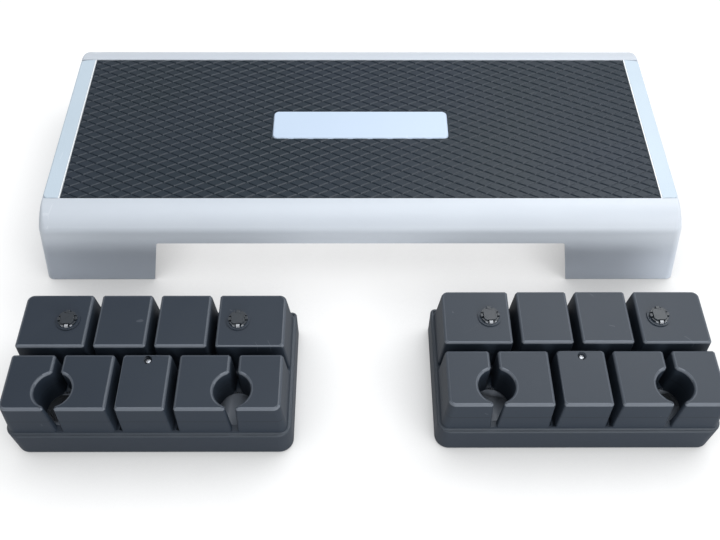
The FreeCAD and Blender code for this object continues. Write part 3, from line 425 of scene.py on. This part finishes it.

# %% [markdown]
# ## Painted highlight on the ridges beside the strips
# Between the mat and each strip the shell has a narrow ridge that catches the light as a bright white
# line; that line is a painted highlight. The ridge belongs to the shell, so the line is a mask in the
# shell's finish: one where a point lies on a ridge, along the mat, at the top.

# %% Ridges with a painted highlight
RIDGE_HIGHLIGHT_COLOUR, RIDGE_DEPTH = (0.88, 0.90, 0.92), 0.002
mat_low, mat_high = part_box("step_mat")
mat_middle = (mat_low + mat_high) / 2
half_mat = (mat_high - mat_low) / 2
strip_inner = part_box("right_end_strip")[0].x
ridge_middle, ridge_reach = (strip_inner + mat_high.x) / 2, (strip_inner - mat_high.x) / 2
tree = shell_plastic.node_tree
spot = parts_of(tree, object_place(tree))
outward = node_in(tree, "ShaderNodeMath", {0: spot["X"]}, operation="ABSOLUTE")
across = within(tree, outward, ridge_middle, ridge_reach)
along = within(tree, spot["Y"], mat_middle.y, half_mat.y)
at_top = within(tree, spot["Z"], mat_high.z, RIDGE_DEPTH)
# Painted highlight: one on the top of each ridge, along the mat.
ridge_highlight_mask = combine(tree, "MULTIPLY", combine(tree, "MULTIPLY", across, along), at_top)
skin = tree.nodes["Principled BSDF"].inputs["Base Color"]
tree.links.new(blend(tree, ridge_highlight_mask, skin.links[0].from_socket, RIDGE_HIGHLIGHT_COLOUR), skin)
print("ridges at", round(ridge_middle, 4), "reach", round(ridge_reach, 4))

# %% [markdown]
# ## Zinc on the screws
# A plated screw is bright metal with a faint grey mottle, so its colour and roughness follow a small
# noise.

# %% Zinc
ZINC_DARK, ZINC_LIGHT = (0.15, 0.16, 0.18), (0.42, 0.43, 0.45)
ZINC_SMOOTH, ZINC_ROUGH = 0.18, 0.34
screw_steel = bpy.data.materials.new("screw_steel")
screw_steel.use_nodes = True
tree = screw_steel.node_tree
shader = tree.nodes["Principled BSDF"]
mottle = node_in(tree, "ShaderNodeTexNoise", {"Vector": object_place(tree), "Scale": 900.0, "Detail": 2.0})
dull = node_in(tree, "ShaderNodeMapRange", {"Value": mottle, "To Min": ZINC_SMOOTH, "To Max": ZINC_ROUGH})
fill(tree, shader.inputs["Metallic"], 1.0)
fill(tree, shader.inputs["Base Color"], blend(tree, mottle, ZINC_DARK, ZINC_LIGHT))
fill(tree, shader.inputs["Roughness"], dull)
finishes["screw_steel"] = screw_steel
print("screw finish:", screw_steel.name)

# %% Give the solids their finishes
for part in frame["record"]["subparts"]:
    finish = finishes.get(part["material_slot"])
    if finish:
        for slot in nodes[part["node"]].material_slots:
            slot.material = finish

# %% [markdown]
# ## Mat with a diamond tread
# The mat is a rubber sheet with raised lozenges, about 26 mm long and 12.6 mm deep, in two interleaved
# grids with narrow grooves between. A bump texture would lose the edges' bright lines, so the lozenges
# are real: Geometry Nodes set a four-sided frustum on every point of the two grids. A boolean then trims
# them to the sheet and to the plate's window.

# %% Tread rubber
# The tread's paler colour is a painted highlight on the lit flanks of the lozenges.
tread_rubber = moulded(
    "tread_rubber", colour=(0.008, 0.016, 0.022), cloud_colour=(0.015, 0.022, 0.035),
    scuff_colour=(0.07, 0.08, 0.09), rough=0.38, pebbles=1500.0, depth=0.00006, film=0.012,
    scratches=22.0, spread=0.69, shine=0.18, wear_and_highlight_colour=(0.085, 0.095, 0.11))
print("tread finish:", tread_rubber.name)


# %% Geometry node helpers
def shape_tree(name, inputs):
    """An empty Geometry Nodes tree, the sockets that bring its inputs in, and its one geometry output."""
    tree, given, taken = new_group(name, "GeometryNodeTree", inputs, (("Geometry", GEOMETRY),))
    tree.is_modifier = True
    return tree, given, taken[0]


def vector_of(tree, x, y, z=0.0):
    """A vector from three numbers, each a socket or a plain value."""
    return node_in(tree, "ShaderNodeCombineXYZ", {0: x, 1: y, 2: z})


def joined(tree, shapes):
    """All the shapes as one geometry."""
    node = tree.nodes.new("GeometryNodeJoinGeometry")
    for shape in shapes:
        tree.links.new(shape, node.inputs[0])
    return node.outputs[0]


def close_tree(tree, shape, finish, end):
    """Makes instances real and gives them their finish."""
    real = node_in(tree, "GeometryNodeRealizeInstances", {0: shape})
    tree.links.new(node_in(tree, "GeometryNodeSetMaterial", {"Geometry": real, "Material": finish}), end)


# %% Lozenge lattice
LOZENGE_LONG, LOZENGE_SHORT = 0.0258, 0.0126
COLUMNS, ROWS = 31, 23
GROOVE_SHARE, RELIEF, LOZENGE_TOP = 0.95, 0.0012, 0.80
lattice, given, lattice_end = shape_tree("tread lattice", (
    ("Long pitch", FLOAT, LOZENGE_LONG), ("Short pitch", FLOAT, LOZENGE_SHORT), ("Columns", WHOLE, COLUMNS),
    ("Rows", WHOLE, ROWS), ("Filling", FLOAT, GROOVE_SHARE), ("Relief", FLOAT, RELIEF),
    ("Finish", MATERIAL, None)))
long_pitch, short_pitch = given["Long pitch"], given["Short pitch"]
row_long = combine(lattice, "MULTIPLY", long_pitch, combine(lattice, "SUBTRACT", given["Columns"], 1.0))
row_short = combine(lattice, "MULTIPLY", short_pitch, combine(lattice, "SUBTRACT", given["Rows"], 1.0))
grids = []
for shift in (0.0, 0.5):
    grid = node_in(lattice, "GeometryNodeMeshGrid",
                   {"Vertices X": given["Columns"], "Vertices Y": given["Rows"],
                    "Size X": row_long, "Size Y": row_short})
    aside = vector_of(lattice, combine(lattice, "MULTIPLY", long_pitch, shift),
                      combine(lattice, "MULTIPLY", short_pitch, shift))
    grids.append(node_in(lattice, "GeometryNodeTransform", {"Geometry": grid, "Translation": aside}))
lozenge = node_in(lattice, "GeometryNodeMeshCone", {"Vertices": 4, "Radius Top": LOZENGE_TOP,
                                                    "Radius Bottom": 1.0, "Depth": 1.0}, fill_type="NGON")
half_filling = combine(lattice, "MULTIPLY", given["Filling"], 0.5)
lozenge_size = vector_of(lattice, combine(lattice, "MULTIPLY", long_pitch, half_filling),
                         combine(lattice, "MULTIPLY", short_pitch, half_filling), given["Relief"])
sized = node_in(lattice, "GeometryNodeTransform", {"Geometry": lozenge, "Scale": lozenge_size})
field = node_in(lattice, "GeometryNodeInstanceOnPoints",
                {"Points": joined(lattice, grids), "Instance": sized})
close_tree(lattice, field, given["Finish"], lattice_end)
print("lattice: two grids of", COLUMNS, "by", ROWS, "lozenges")


# %% Turn a node tree into a plain mesh
def mesh_from_tree(name, tree, **values):
    """Evaluates a Geometry Nodes tree on an empty mesh and keeps the result as a plain mesh object."""
    carrier = bpy.data.objects.new(name + "_carrier", bpy.data.meshes.new(name + "_carrier"))
    scene.collection.objects.link(carrier)
    modifier = carrier.modifiers.new("tree", "NODES")
    modifier.node_group = tree
    for item in tree.interface.items_tree:
        if item.in_out == "INPUT" and item.name in values:
            modifier[item.identifier] = values[item.name]
    evaluated = carrier.evaluated_get(bpy.context.evaluated_depsgraph_get())
    mesh = bpy.data.meshes.new_from_object(evaluated)
    mesh.name = name
    bpy.data.objects.remove(carrier)
    piece = bpy.data.objects.new(name, mesh)
    scene.collection.objects.link(piece)
    return piece


def settle(piece):
    """Applies a piece's modifiers and its place, so that it sits plain at the origin."""
    bpy.context.view_layer.update()
    evaluated = piece.evaluated_get(bpy.context.evaluated_depsgraph_get())
    mesh = bpy.data.meshes.new_from_object(evaluated)
    mesh.transform(piece.matrix_world)
    piece.modifiers.clear()
    piece.data = mesh
    piece.matrix_world = Matrix.Identity(4)


def dress(piece, finish):
    """Gives every face of a piece the same finish; a boolean can leave an empty slot behind."""
    piece.data.materials.clear()
    piece.data.materials.append(finish)
    for face in piece.data.polygons:
        face.material_index = 0


def store_wear_and_highlight(piece, amount):
    """Stores on each face its share of wear and painted highlight, as the given function says."""
    mesh = piece.data
    layer = mesh.attributes.new("wear_and_highlight", "FLOAT", "FACE")
    for face, value in zip(mesh.polygons, layer.data):
        value.value = amount(face)


# %% Outlines, prisms and trims
CORNER_STEPS = 8


def rectangle(half_x, half_y):
    """The corners of a rectangle about the origin."""
    return [(half_x, half_y), (-half_x, half_y), (-half_x, -half_y), (half_x, -half_y)]


def rounded_outline(half_x, half_y, corner):
    """Points round a rounded rectangle about the origin."""
    points = []
    for quarter, (way_x, way_y) in enumerate(((1, 1), (-1, 1), (-1, -1), (1, -1))):
        for step in range(CORNER_STEPS + 1):
            angle = math.pi / 2 * (quarter + step / CORNER_STEPS)
            points.append((way_x * (half_x - corner) + corner * math.cos(angle),
                           way_y * (half_y - corner) + corner * math.sin(angle)))
    return points


def prism(name, outline, middle, low, high):
    """An upright prism on an outline."""
    form = bmesh.new()
    base = [form.verts.new((middle[0] + x, middle[1] + y, low)) for x, y in outline]
    form.faces.new(base)
    lifted = bmesh.ops.extrude_face_region(form, geom=form.faces[:])
    upper = [item for item in lifted["geom"] if isinstance(item, bmesh.types.BMVert)]
    bmesh.ops.translate(form, vec=(0, 0, high - low), verts=upper)
    bmesh.ops.recalc_face_normals(form, faces=form.faces[:])
    return piece_from(name, form)


def trim(piece, tool, operation):
    """A boolean that is applied at once; the tool is removed."""
    modifier = piece.modifiers.new("trim", "BOOLEAN")
    modifier.operation = operation
    modifier.solver = "EXACT"
    modifier.object = tool
    settle(piece)
    bpy.data.objects.remove(tool)


# %% Tread, sheet and window
PLATE_CORNER, FIT = 0.007, 0.0003
TREAD_INSET, TRIM_SPARE = 0.0012, 0.01
TREAD_FLANK_HIGHLIGHT, TREAD_TURNED = 0.6, 0.05
FLANK_STEEP, FLANK_FLAT = 0.1, 0.95
plate_low, plate_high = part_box("badge_plate")
half_plate = (plate_high - plate_low) / 2
above_mat = mat_high.z + TRIM_SPARE


def plate_window(gap):
    """The plate's outline, widened by a gap."""
    return rounded_outline(half_plate.x + gap, half_plate.y + gap, PLATE_CORNER + gap)


def flank_highlight(face):
    """Painted highlight: the flanks of the lozenges that look to the right, and not to the back, are painted
    paler where they catch the light.
    """
    flank = FLANK_STEEP < face.normal.z < FLANK_FLAT
    return TREAD_FLANK_HIGHLIGHT if flank and face.normal.x > TREAD_TURNED > face.normal.y else 0.0


tread = mesh_from_tree("tread", lattice, Finish=tread_rubber)
tread.matrix_world = Matrix.Translation((mat_middle.x, mat_middle.y, mat_high.z - RELIEF))
tread_edge = rectangle(half_mat.x - TREAD_INSET, half_mat.y - TREAD_INSET)
trim(tread, prism("tread_edge", tread_edge, mat_middle, mat_low.z, above_mat), "INTERSECT")
trim(tread, prism("tread_window", plate_window(2 * FIT), mat_middle, mat_low.z, above_mat), "DIFFERENCE")
sheet = prism("mat_sheet", rectangle(half_mat.x, half_mat.y), mat_middle, mat_low.z, mat_high.z - RELIEF)
below_mat = mat_low.z - TRIM_SPARE
trim(sheet, prism("sheet_window", plate_window(FIT), mat_middle, below_mat, above_mat), "DIFFERENCE")
for piece in (tread, sheet):
    dress(piece, tread_rubber)
store_wear_and_highlight(tread, flank_highlight)
for piece in (tread, sheet):
    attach(piece, "platform")
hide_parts("step_mat")
print("tread faces:", len(tread.data.polygons), "sheet faces:", len(sheet.data.polygons))

# %% [markdown]
# ## Softened blocks
# A moulded block has no sharp edge: the rounded edges are what catches the light along the front and the
# right of each block. The solid's top edges are sharp, so each riser gets a copy of its solid with those
# edges bevelled. The copy's loose triangles are merged and its flat faces joined first, because a bevel
# follows edges, not triangles. Weighted normals then keep the flat faces flat and let the bevels shade
# as rounds. The slab below is copied too; there only the rounding of the two back corners is made
# smaller.

# %% Softened copy of a solid
MERGE_REACH, FLAT_ANGLE, SHARP_ANGLE = 0.000002, math.radians(0.5), math.radians(52)
BEVEL_STEPS = 3


def softened_copy(name, node, width, weigh, finish):
    """A copy of a solid whose edges are rounded by the width times their weight."""
    form = bmesh.new()
    form.from_mesh(nodes[node].data)
    bmesh.ops.remove_doubles(form, verts=form.verts[:], dist=MERGE_REACH)
    bmesh.ops.dissolve_limit(form, angle_limit=FLAT_ANGLE, verts=form.verts[:], edges=form.edges[:])
    weight = form.edges.layers.float.new("bevel_weight_edge")
    rounded_edges = 0
    for edge in form.edges:
        if len(edge.link_faces) == 2 and edge.is_convex:
            edge[weight] = weigh(edge)
            rounded_edges += edge[weight] > 0
    for face in form.faces:
        face.smooth = True
    piece = piece_from(name, form, finish)
    piece.data.set_sharp_from_angle(angle=SHARP_ANGLE)
    bevel = piece.modifiers.new("round edges", "BEVEL")
    bevel.limit_method = "WEIGHT"
    bevel.width = width
    bevel.segments = BEVEL_STEPS
    bevel.use_clamp_overlap = False
    bevel.face_strength_mode = "FSTR_AFFECTED"
    level = piece.modifiers.new("flat faces", "WEIGHTED_NORMAL")
    level.keep_sharp = True
    level.use_face_influence = True
    settle(piece)
    print(name, "rounded edges:", rounded_edges, "faces:", len(piece.data.polygons))
    return piece


def middle_of(node):
    """The middle of a solid's box."""
    low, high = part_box(node)
    return (low + high) / 2


# %% Sharper back corners of the slab
SLAB_CORNER, BACK_CORNER, CORNER_SLACK = 0.016, 0.006, 0.00001


def sharpen_back(piece, low, high):
    """Moves the slab's two back corners out, so that their rounding gets smaller."""
    change = SLAB_CORNER - BACK_CORNER
    for vert in piece.data.vertices:
        way = 1 if vert.co.x > (low.x + high.x) / 2 else -1
        centre = Vector(((high.x if way > 0 else low.x) - way * SLAB_CORNER, high.y - SLAB_CORNER))
        reach = vert.co.xy - centre
        if reach.x * way > -CORNER_SLACK and reach.y > -CORNER_SLACK and reach.length > change:
            place = centre + Vector((way, 1)) * change + reach.normalized() * (reach.length - change)
            vert.co.x, vert.co.y = place


# %% Wear and painted highlight of the risers
BLOCK_TOP, BLOCK_ROUND, SEAM_HEIGHT = 0.095, 0.0028, 0.044
# On the block edges the paler share is partly wear, partly painted highlight; on the pocket floors it is
# painted light.
FRONT_WEAR_AND_HIGHLIGHT, SIDE_WEAR_AND_HIGHLIGHT, BACK_WEAR_AND_HIGHLIGHT = 0.75, 0.35, 0.22
LEDGE_HIGHLIGHT, POCKET_FLOOR_LIGHT = 0.14, 1.0
LEANING, NEARLY_LEVEL, LEVEL = 0.2, 0.985, 0.99
FLOOR_SLACK, BEVEL_SHARE = 0.0005, 1.1


def edge_wear_and_highlight(face):
    """Bevels at the top of the blocks are worn and painted with a highlight, most at the front where the
    light falls; the pocket floors are painted light.
    """
    if face.normal.z > LEVEL and abs(face.center.z - SEAM_HEIGHT) < FLOOR_SLACK:
        return POCKET_FLOOR_LIGHT
    if not LEANING < face.normal.z < NEARLY_LEVEL or face.center.z < BLOCK_TOP - BEVEL_SHARE * BLOCK_ROUND:
        return 0.0
    if face.normal.y < -LEANING:
        return FRONT_WEAR_AND_HIGHLIGHT
    return BACK_WEAR_AND_HIGHLIGHT if face.normal.y > LEANING else SIDE_WEAR_AND_HIGHLIGHT


def ledge_highlight(face):
    """The ledge and its edge get a little painted highlight."""
    return LEDGE_HIGHLIGHT if face.normal.z > LEANING and face.center.z > SEAM_HEIGHT - BLOCK_ROUND else 0.0


# %% Softened risers
STUD_CLEAR, SCREW_CLEAR = 0.016, 0.008
TOP_SLACK, REAL_EDGE = 0.0001, 0.5


def no_edges(edge):
    """No weight for any edge."""
    return 0.0


for side in ("left", "right"):
    riser = side + "_riser"
    fittings = [(middle_of(f"{riser}_{end}_stud"), STUD_CLEAR) for end in ("left", "right")]
    fittings.append((middle_of(riser + "_screw"), SCREW_CLEAR))

    def top_edges(edge):
        """Full weight for the outline of the blocks' tops, none close to the studs and the screw."""
        for centre, reach in fittings:
            if all((vert.co - centre).xy.length < reach for vert in edge.verts):
                return 0.0
        level = all(abs(vert.co.z - BLOCK_TOP) < TOP_SLACK for vert in edge.verts)
        return 1.0 if level and edge.calc_face_angle() > REAL_EDGE else 0.0

    blocks = softened_copy(riser + "_blocks", riser + "_top", BLOCK_ROUND, top_edges, riser_plastic)
    store_wear_and_highlight(blocks, edge_wear_and_highlight)
    tray = softened_copy(riser + "_tray", riser + "_base", BLOCK_ROUND, no_edges, base_plastic)
    sharpen_back(tray, *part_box(riser + "_base"))
    store_wear_and_highlight(tray, ledge_highlight)
    for piece, node, slot in ((blocks, riser + "_top", "riser_plastic"),
                              (tray, riser + "_base", "base_plastic")):
        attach(piece, riser)
        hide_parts(node)

# %% [markdown]
# ## Cove at the blocks' foot
# The two mouldings of a riser meet at the ledge, but the photograph shows no dark gap there: the wall
# runs into the ledge in a small hollow curve. A ring with that curve as its section covers the gap.

# %% Cove
COVE, FOOT_CORNER, COVE_STEPS = 0.0021, 0.008, 6
COVE_SINK, COVE_TUCK = 0.0003, 0.0012
section = [(-COVE_TUCK, SEAM_HEIGHT - COVE_SINK)]
for step in range(COVE_STEPS + 1):
    angle = math.pi / 2 * step / COVE_STEPS
    section.append((COVE - COVE * math.sin(angle), SEAM_HEIGHT + COVE - COVE * math.cos(angle)))
for side in ("left", "right"):
    riser = side + "_riser"
    low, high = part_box(riser + "_top")
    middle, half = (low + high) / 2, (high - low) / 2
    form = bmesh.new()
    loops = []
    for reach, height in section:
        outline = rounded_outline(half.x - COVE_SINK + reach, half.y - COVE_SINK + reach, FOOT_CORNER + reach)
        loops.append([form.verts.new((middle.x + x, middle.y + y, height)) for x, y in outline])
    for number, loop in enumerate(loops):
        following = loops[(number + 1) % len(loops)]
        for corner in range(len(loop)):
            after = (corner + 1) % len(loop)
            form.faces.new((loop[corner], loop[after], following[after], following[corner]))
    bmesh.ops.recalc_face_normals(form, faces=form.faces[:])
    for face in form.faces:
        face.smooth = True
    cove = piece_from(riser + "_cove", form, base_plastic)
    cove.data.set_sharp_from_angle(angle=SHARP_ANGLE)
    # The cove shares the ledge's painted highlight.
    store_wear_and_highlight(cove, lambda face: LEDGE_HIGHLIGHT)
    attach(cove, riser)
    print(cove.name, "faces:", len(cove.data.polygons))

# %% [markdown]
# ## Snap studs
# Each riser carries two studs that snap into the part above it: a low crown with four spring tabs
# standing in notches, and a disc on top. Crown and disc are cylinders with the notches cut out; the tabs
# and the notches are instances on the points of a small circle, so their number and size can be changed
# in one place. The pair comes from the two ends of a line.

# %% Snap stud sizes
studs_tree, given, studs_end = shape_tree("snap studs", (
    ("Radius", FLOAT, 0.0108), ("Height", FLOAT, 0.0054), ("Tabs", WHOLE, 4), ("Tab width", FLOAT, 0.0042),
    ("Notch width", FLOAT, 0.0074), ("Notch depth", FLOAT, 0.0064), ("Disc radius", FLOAT, 0.0088),
    ("Turn", VECTOR, (0.0, 0.0, 0.06)), ("First place", VECTOR, (0.0, 0.0, 0.0)),
    ("Last place", VECTOR, (0.0, 0.0, 0.0)), ("Finish", MATERIAL, None)))
DISC_SHARE, CROWN_SHARE, TAB_SHARE = 0.45, 0.62, 0.80
NOTCH_SHARE, NOTCH_FOOT_SHARE = 1.6, -0.3
TAB_DEPTH_SHARE, TAB_RIM_SHARE = 0.5, 0.4
STUD_SIDES = 40


def share_of(socket, share):
    """A size of the stud, multiplied by a plain number."""
    return combine(studs_tree, "MULTIPLY", socket, share)


# %% Forms of the stud
def upright(radius, tall, top):
    """A cylinder of the stud whose upper face lies at the given height."""
    round_bar = node_in(studs_tree, "GeometryNodeMeshCylinder",
                        {"Vertices": STUD_SIDES, "Radius": radius, "Depth": tall})
    lift = vector_of(studs_tree, 0.0, 0.0, combine(studs_tree, "SUBTRACT", top, share_of(tall, 0.5)))
    return node_in(studs_tree, "GeometryNodeTransform", {"Geometry": round_bar, "Translation": lift})


def round_the_rim(rim, width, depth, tall, foot):
    """Boxes that stand round a circle, each turned to face outwards."""
    points = node_in(studs_tree, "GeometryNodeMeshCircle", {"Vertices": given["Tabs"], "Radius": rim})
    lift = vector_of(studs_tree, 0.0, 0.0, combine(studs_tree, "ADD", foot, share_of(tall, 0.5)))
    box = node_in(studs_tree, "GeometryNodeMeshCube", {"Size": vector_of(studs_tree, depth, width, tall)})
    bar = node_in(studs_tree, "GeometryNodeTransform", {"Geometry": box, "Translation": lift})
    place = node_in(studs_tree, "GeometryNodeInputPosition", {})
    outward = node_in(studs_tree, "FunctionNodeAlignRotationToVector", {"Vector": place}, axis="X",
                      pivot_axis="Z")
    ring = node_in(studs_tree, "GeometryNodeInstanceOnPoints",
                   {"Points": points, "Instance": bar, "Rotation": outward})
    return node_in(studs_tree, "GeometryNodeRealizeInstances", {0: ring})


def notched(shape, notches):
    """A shape with the notches cut out."""
    return node_in(studs_tree, "GeometryNodeMeshBoolean", {"Mesh 1": shape, "Mesh 2": notches},
                   operation="DIFFERENCE", solver="EXACT")


# %% Snap stud tree
height = given["Height"]
crown_height = share_of(height, CROWN_SHARE)
notches = round_the_rim(given["Radius"], given["Notch width"], given["Notch depth"],
                        share_of(height, NOTCH_SHARE), share_of(height, NOTCH_FOOT_SHARE))
crown = notched(upright(given["Radius"], crown_height, crown_height), notches)
disc = notched(upright(given["Disc radius"], share_of(height, DISC_SHARE), height), notches)
tab_depth = share_of(given["Notch depth"], TAB_DEPTH_SHARE)
tab_rim = combine(studs_tree, "SUBTRACT", given["Radius"], share_of(tab_depth, TAB_RIM_SHARE))
tabs = round_the_rim(tab_rim, given["Tab width"], tab_depth, share_of(height, TAB_SHARE), 0.0)
stud = node_in(studs_tree, "GeometryNodeTransform",
               {"Geometry": joined(studs_tree, (crown, tabs, disc)), "Rotation": given["Turn"]})
ends = node_in(studs_tree, "GeometryNodeMeshLine", {"Count": 2, "Start Location": given["First place"],
                                                    "Offset": given["Last place"]}, mode="END_POINTS")
pair = node_in(studs_tree, "GeometryNodeInstanceOnPoints", {"Points": ends, "Instance": stud})
close_tree(studs_tree, pair, given["Finish"], studs_end)
print("stud tree:", len(studs_tree.nodes), "nodes")

# %% Softened studs
STUD_MERGE_REACH, STUD_FLAT, CREASE = 0.000005, math.radians(1), math.radians(40)
STUD_ROUND, STUD_BEVEL_STEPS = 0.0003, 2


def join_faces(piece):
    """Merges a piece's loose points and joins its flat neighbours, so that only real edges are left."""
    form = bmesh.new()
    form.from_mesh(piece.data)
    bmesh.ops.remove_doubles(form, verts=form.verts[:], dist=STUD_MERGE_REACH)
    bmesh.ops.dissolve_degenerate(form, edges=form.edges[:], dist=STUD_MERGE_REACH)
    bmesh.ops.dissolve_limit(form, angle_limit=STUD_FLAT, verts=form.verts[:], edges=form.edges[:])
    form.to_mesh(piece.data)
    form.free()


def soften(piece, width):
    """Rounds every sharp edge of a piece by the same small width."""
    join_faces(piece)
    bevel = piece.modifiers.new("round edges", "BEVEL")
    bevel.limit_method = "ANGLE"
    bevel.angle_limit = CREASE
    bevel.width = width
    bevel.segments = STUD_BEVEL_STEPS
    bevel.use_clamp_overlap = False
    settle(piece)
    join_faces(piece)


# %% Studs
STUD_FOOT, STUD_TAB_REACH = 0.0964, 0.0086
TAB_HIGHLIGHT, TAB_FACING = 0.8, 0.5
for side in ("left", "right"):
    riser = side + "_riser"
    first, last = middle_of(riser + "_left_stud"), middle_of(riser + "_right_stud")
    stud_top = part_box(riser + "_left_stud")[1].z
    pair = {"First place": (first.x, first.y, STUD_FOOT), "Last place": (last.x, last.y, STUD_FOOT)}
    studs = mesh_from_tree(riser + "_studs", studs_tree, Height=stud_top - STUD_FOOT,
                           Finish=stud_plastic, **pair)
    soften(studs, STUD_ROUND)
    dress(studs, stud_plastic)
    front = min(first.y, last.y) - STUD_TAB_REACH

    def tab_highlight(face):
        """The front tab gets a painted highlight on its front and its top."""
        shows = face.normal.y < -TAB_FACING or face.normal.z > TAB_FACING
        return TAB_HIGHLIGHT if face.center.y < front and shows else 0.0

    store_wear_and_highlight(studs, tab_highlight)
    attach(studs, riser)
    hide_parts(riser + "_left_stud", riser + "_right_stud")
    print(studs.name, "faces:", len(studs.data.polygons), "top:", round(stud_top, 4))

# %% [markdown]
# ## Screws
# One screw holds the two mouldings of a riser together. Its head is a low dome with a cross recess, in a
# round well, so only a bright crescent shows. The head and shank are turned from one profile, as on a
# lathe, and the cross is cut out.

# %% Turned forms
TURN_STEPS = 36


def turned(name, profile, middle, finish):
    """A closed form turned about an upright axis; the profile runs from the top of the axis to its foot."""
    form = bmesh.new()
    top = form.verts.new((middle.x, middle.y, profile[0][1]))
    foot = form.verts.new((middle.x, middle.y, profile[-1][1]))
    angles = [2 * math.pi * step / TURN_STEPS for step in range(TURN_STEPS)]
    rings = []
    for radius, level in profile[1:-1]:
        places = [(middle.x + radius * math.cos(angle), middle.y + radius * math.sin(angle))
                  for angle in angles]
        rings.append([form.verts.new((x, y, level)) for x, y in places])
    for step in range(TURN_STEPS):
        after = (step + 1) % TURN_STEPS
        form.faces.new((top, rings[0][step], rings[0][after]))
        form.faces.new((foot, rings[-1][after], rings[-1][step]))
        for upper, lower in zip(rings, rings[1:]):
            form.faces.new((upper[step], lower[step], lower[after], upper[after]))
    bmesh.ops.recalc_face_normals(form, faces=form.faces[:])
    return piece_from(name, form, finish)


# %% Screws
HEAD_RADIUS, SHANK_RADIUS, HEAD_DOME = 0.0033, 0.0018, 0.0013
HEAD_EDGE, HEAD_UNDER, POINT_LENGTH = 0.0006, 0.0007, 0.001
CROSS_LONG, CROSS_WIDE, CROSS_DEEP = 0.0042, 0.0009, 0.0013
DOME_STEPS = 6
for side in ("left", "right"):
    node = side + "_riser_screw"
    low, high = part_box(node)
    middle = (low + high) / 2
    rim = high.z - HEAD_DOME
    profile = []
    for step in range(DOME_STEPS + 1):
        angle = math.pi / 2 * step / DOME_STEPS
        profile.append((HEAD_RADIUS * math.sin(angle), rim + HEAD_DOME * math.cos(angle)))
    profile += [(HEAD_RADIUS, rim - HEAD_EDGE), (SHANK_RADIUS, rim - HEAD_UNDER),
                (SHANK_RADIUS, low.z + POINT_LENGTH), (SHANK_RADIUS / 2, low.z), (0.0, low.z)]
    screw = turned(node + "_turned", profile, middle, screw_steel)
    for across, along in ((CROSS_WIDE, CROSS_LONG), (CROSS_LONG, CROSS_WIDE)):
        recess = rectangle(across / 2, along / 2)
        trim(screw, prism("cross", recess, middle, high.z - CROSS_DEEP, high.z + CROSS_DEEP), "DIFFERENCE")
    dress(screw, screw_steel)
    for face in screw.data.polygons:
        face.use_smooth = True
    screw.data.set_sharp_from_angle(angle=CREASE)
    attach(screw, side + "_riser")
    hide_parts(node)
    print(screw.name, "faces:", len(screw.data.polygons))

# %% [markdown]
# ## Rounded end strips
# The strips at the ends are inlays whose outer edge is rounded over, so that the end of the step is soft
# to the shin. Each strip gets a softened copy, in which only the outer top edge is rounded.

# %% Strips
STRIP_ROUND, STRIP_EDGE_REACH, STRIP_REAL_EDGE = 0.0017, 0.0075, 0.3
for side, way in (("left", -1), ("right", 1)):
    node = side + "_end_strip"
    low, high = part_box(node)
    outer = low.x if way < 0 else high.x

    def strip_edges(edge):
        """Full weight for the outer top edge."""
        on_top = all(vert.co.z > high.z - TOP_SLACK for vert in edge.verts)
        outside = all(abs(vert.co.x - outer) < STRIP_EDGE_REACH for vert in edge.verts)
        return 1.0 if on_top and outside and edge.calc_face_angle() > STRIP_REAL_EDGE else 0.0

    cap = softened_copy(node + "_cap", node, STRIP_ROUND, strip_edges, strip_plastic)
    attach(cap, "platform")
    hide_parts(node)
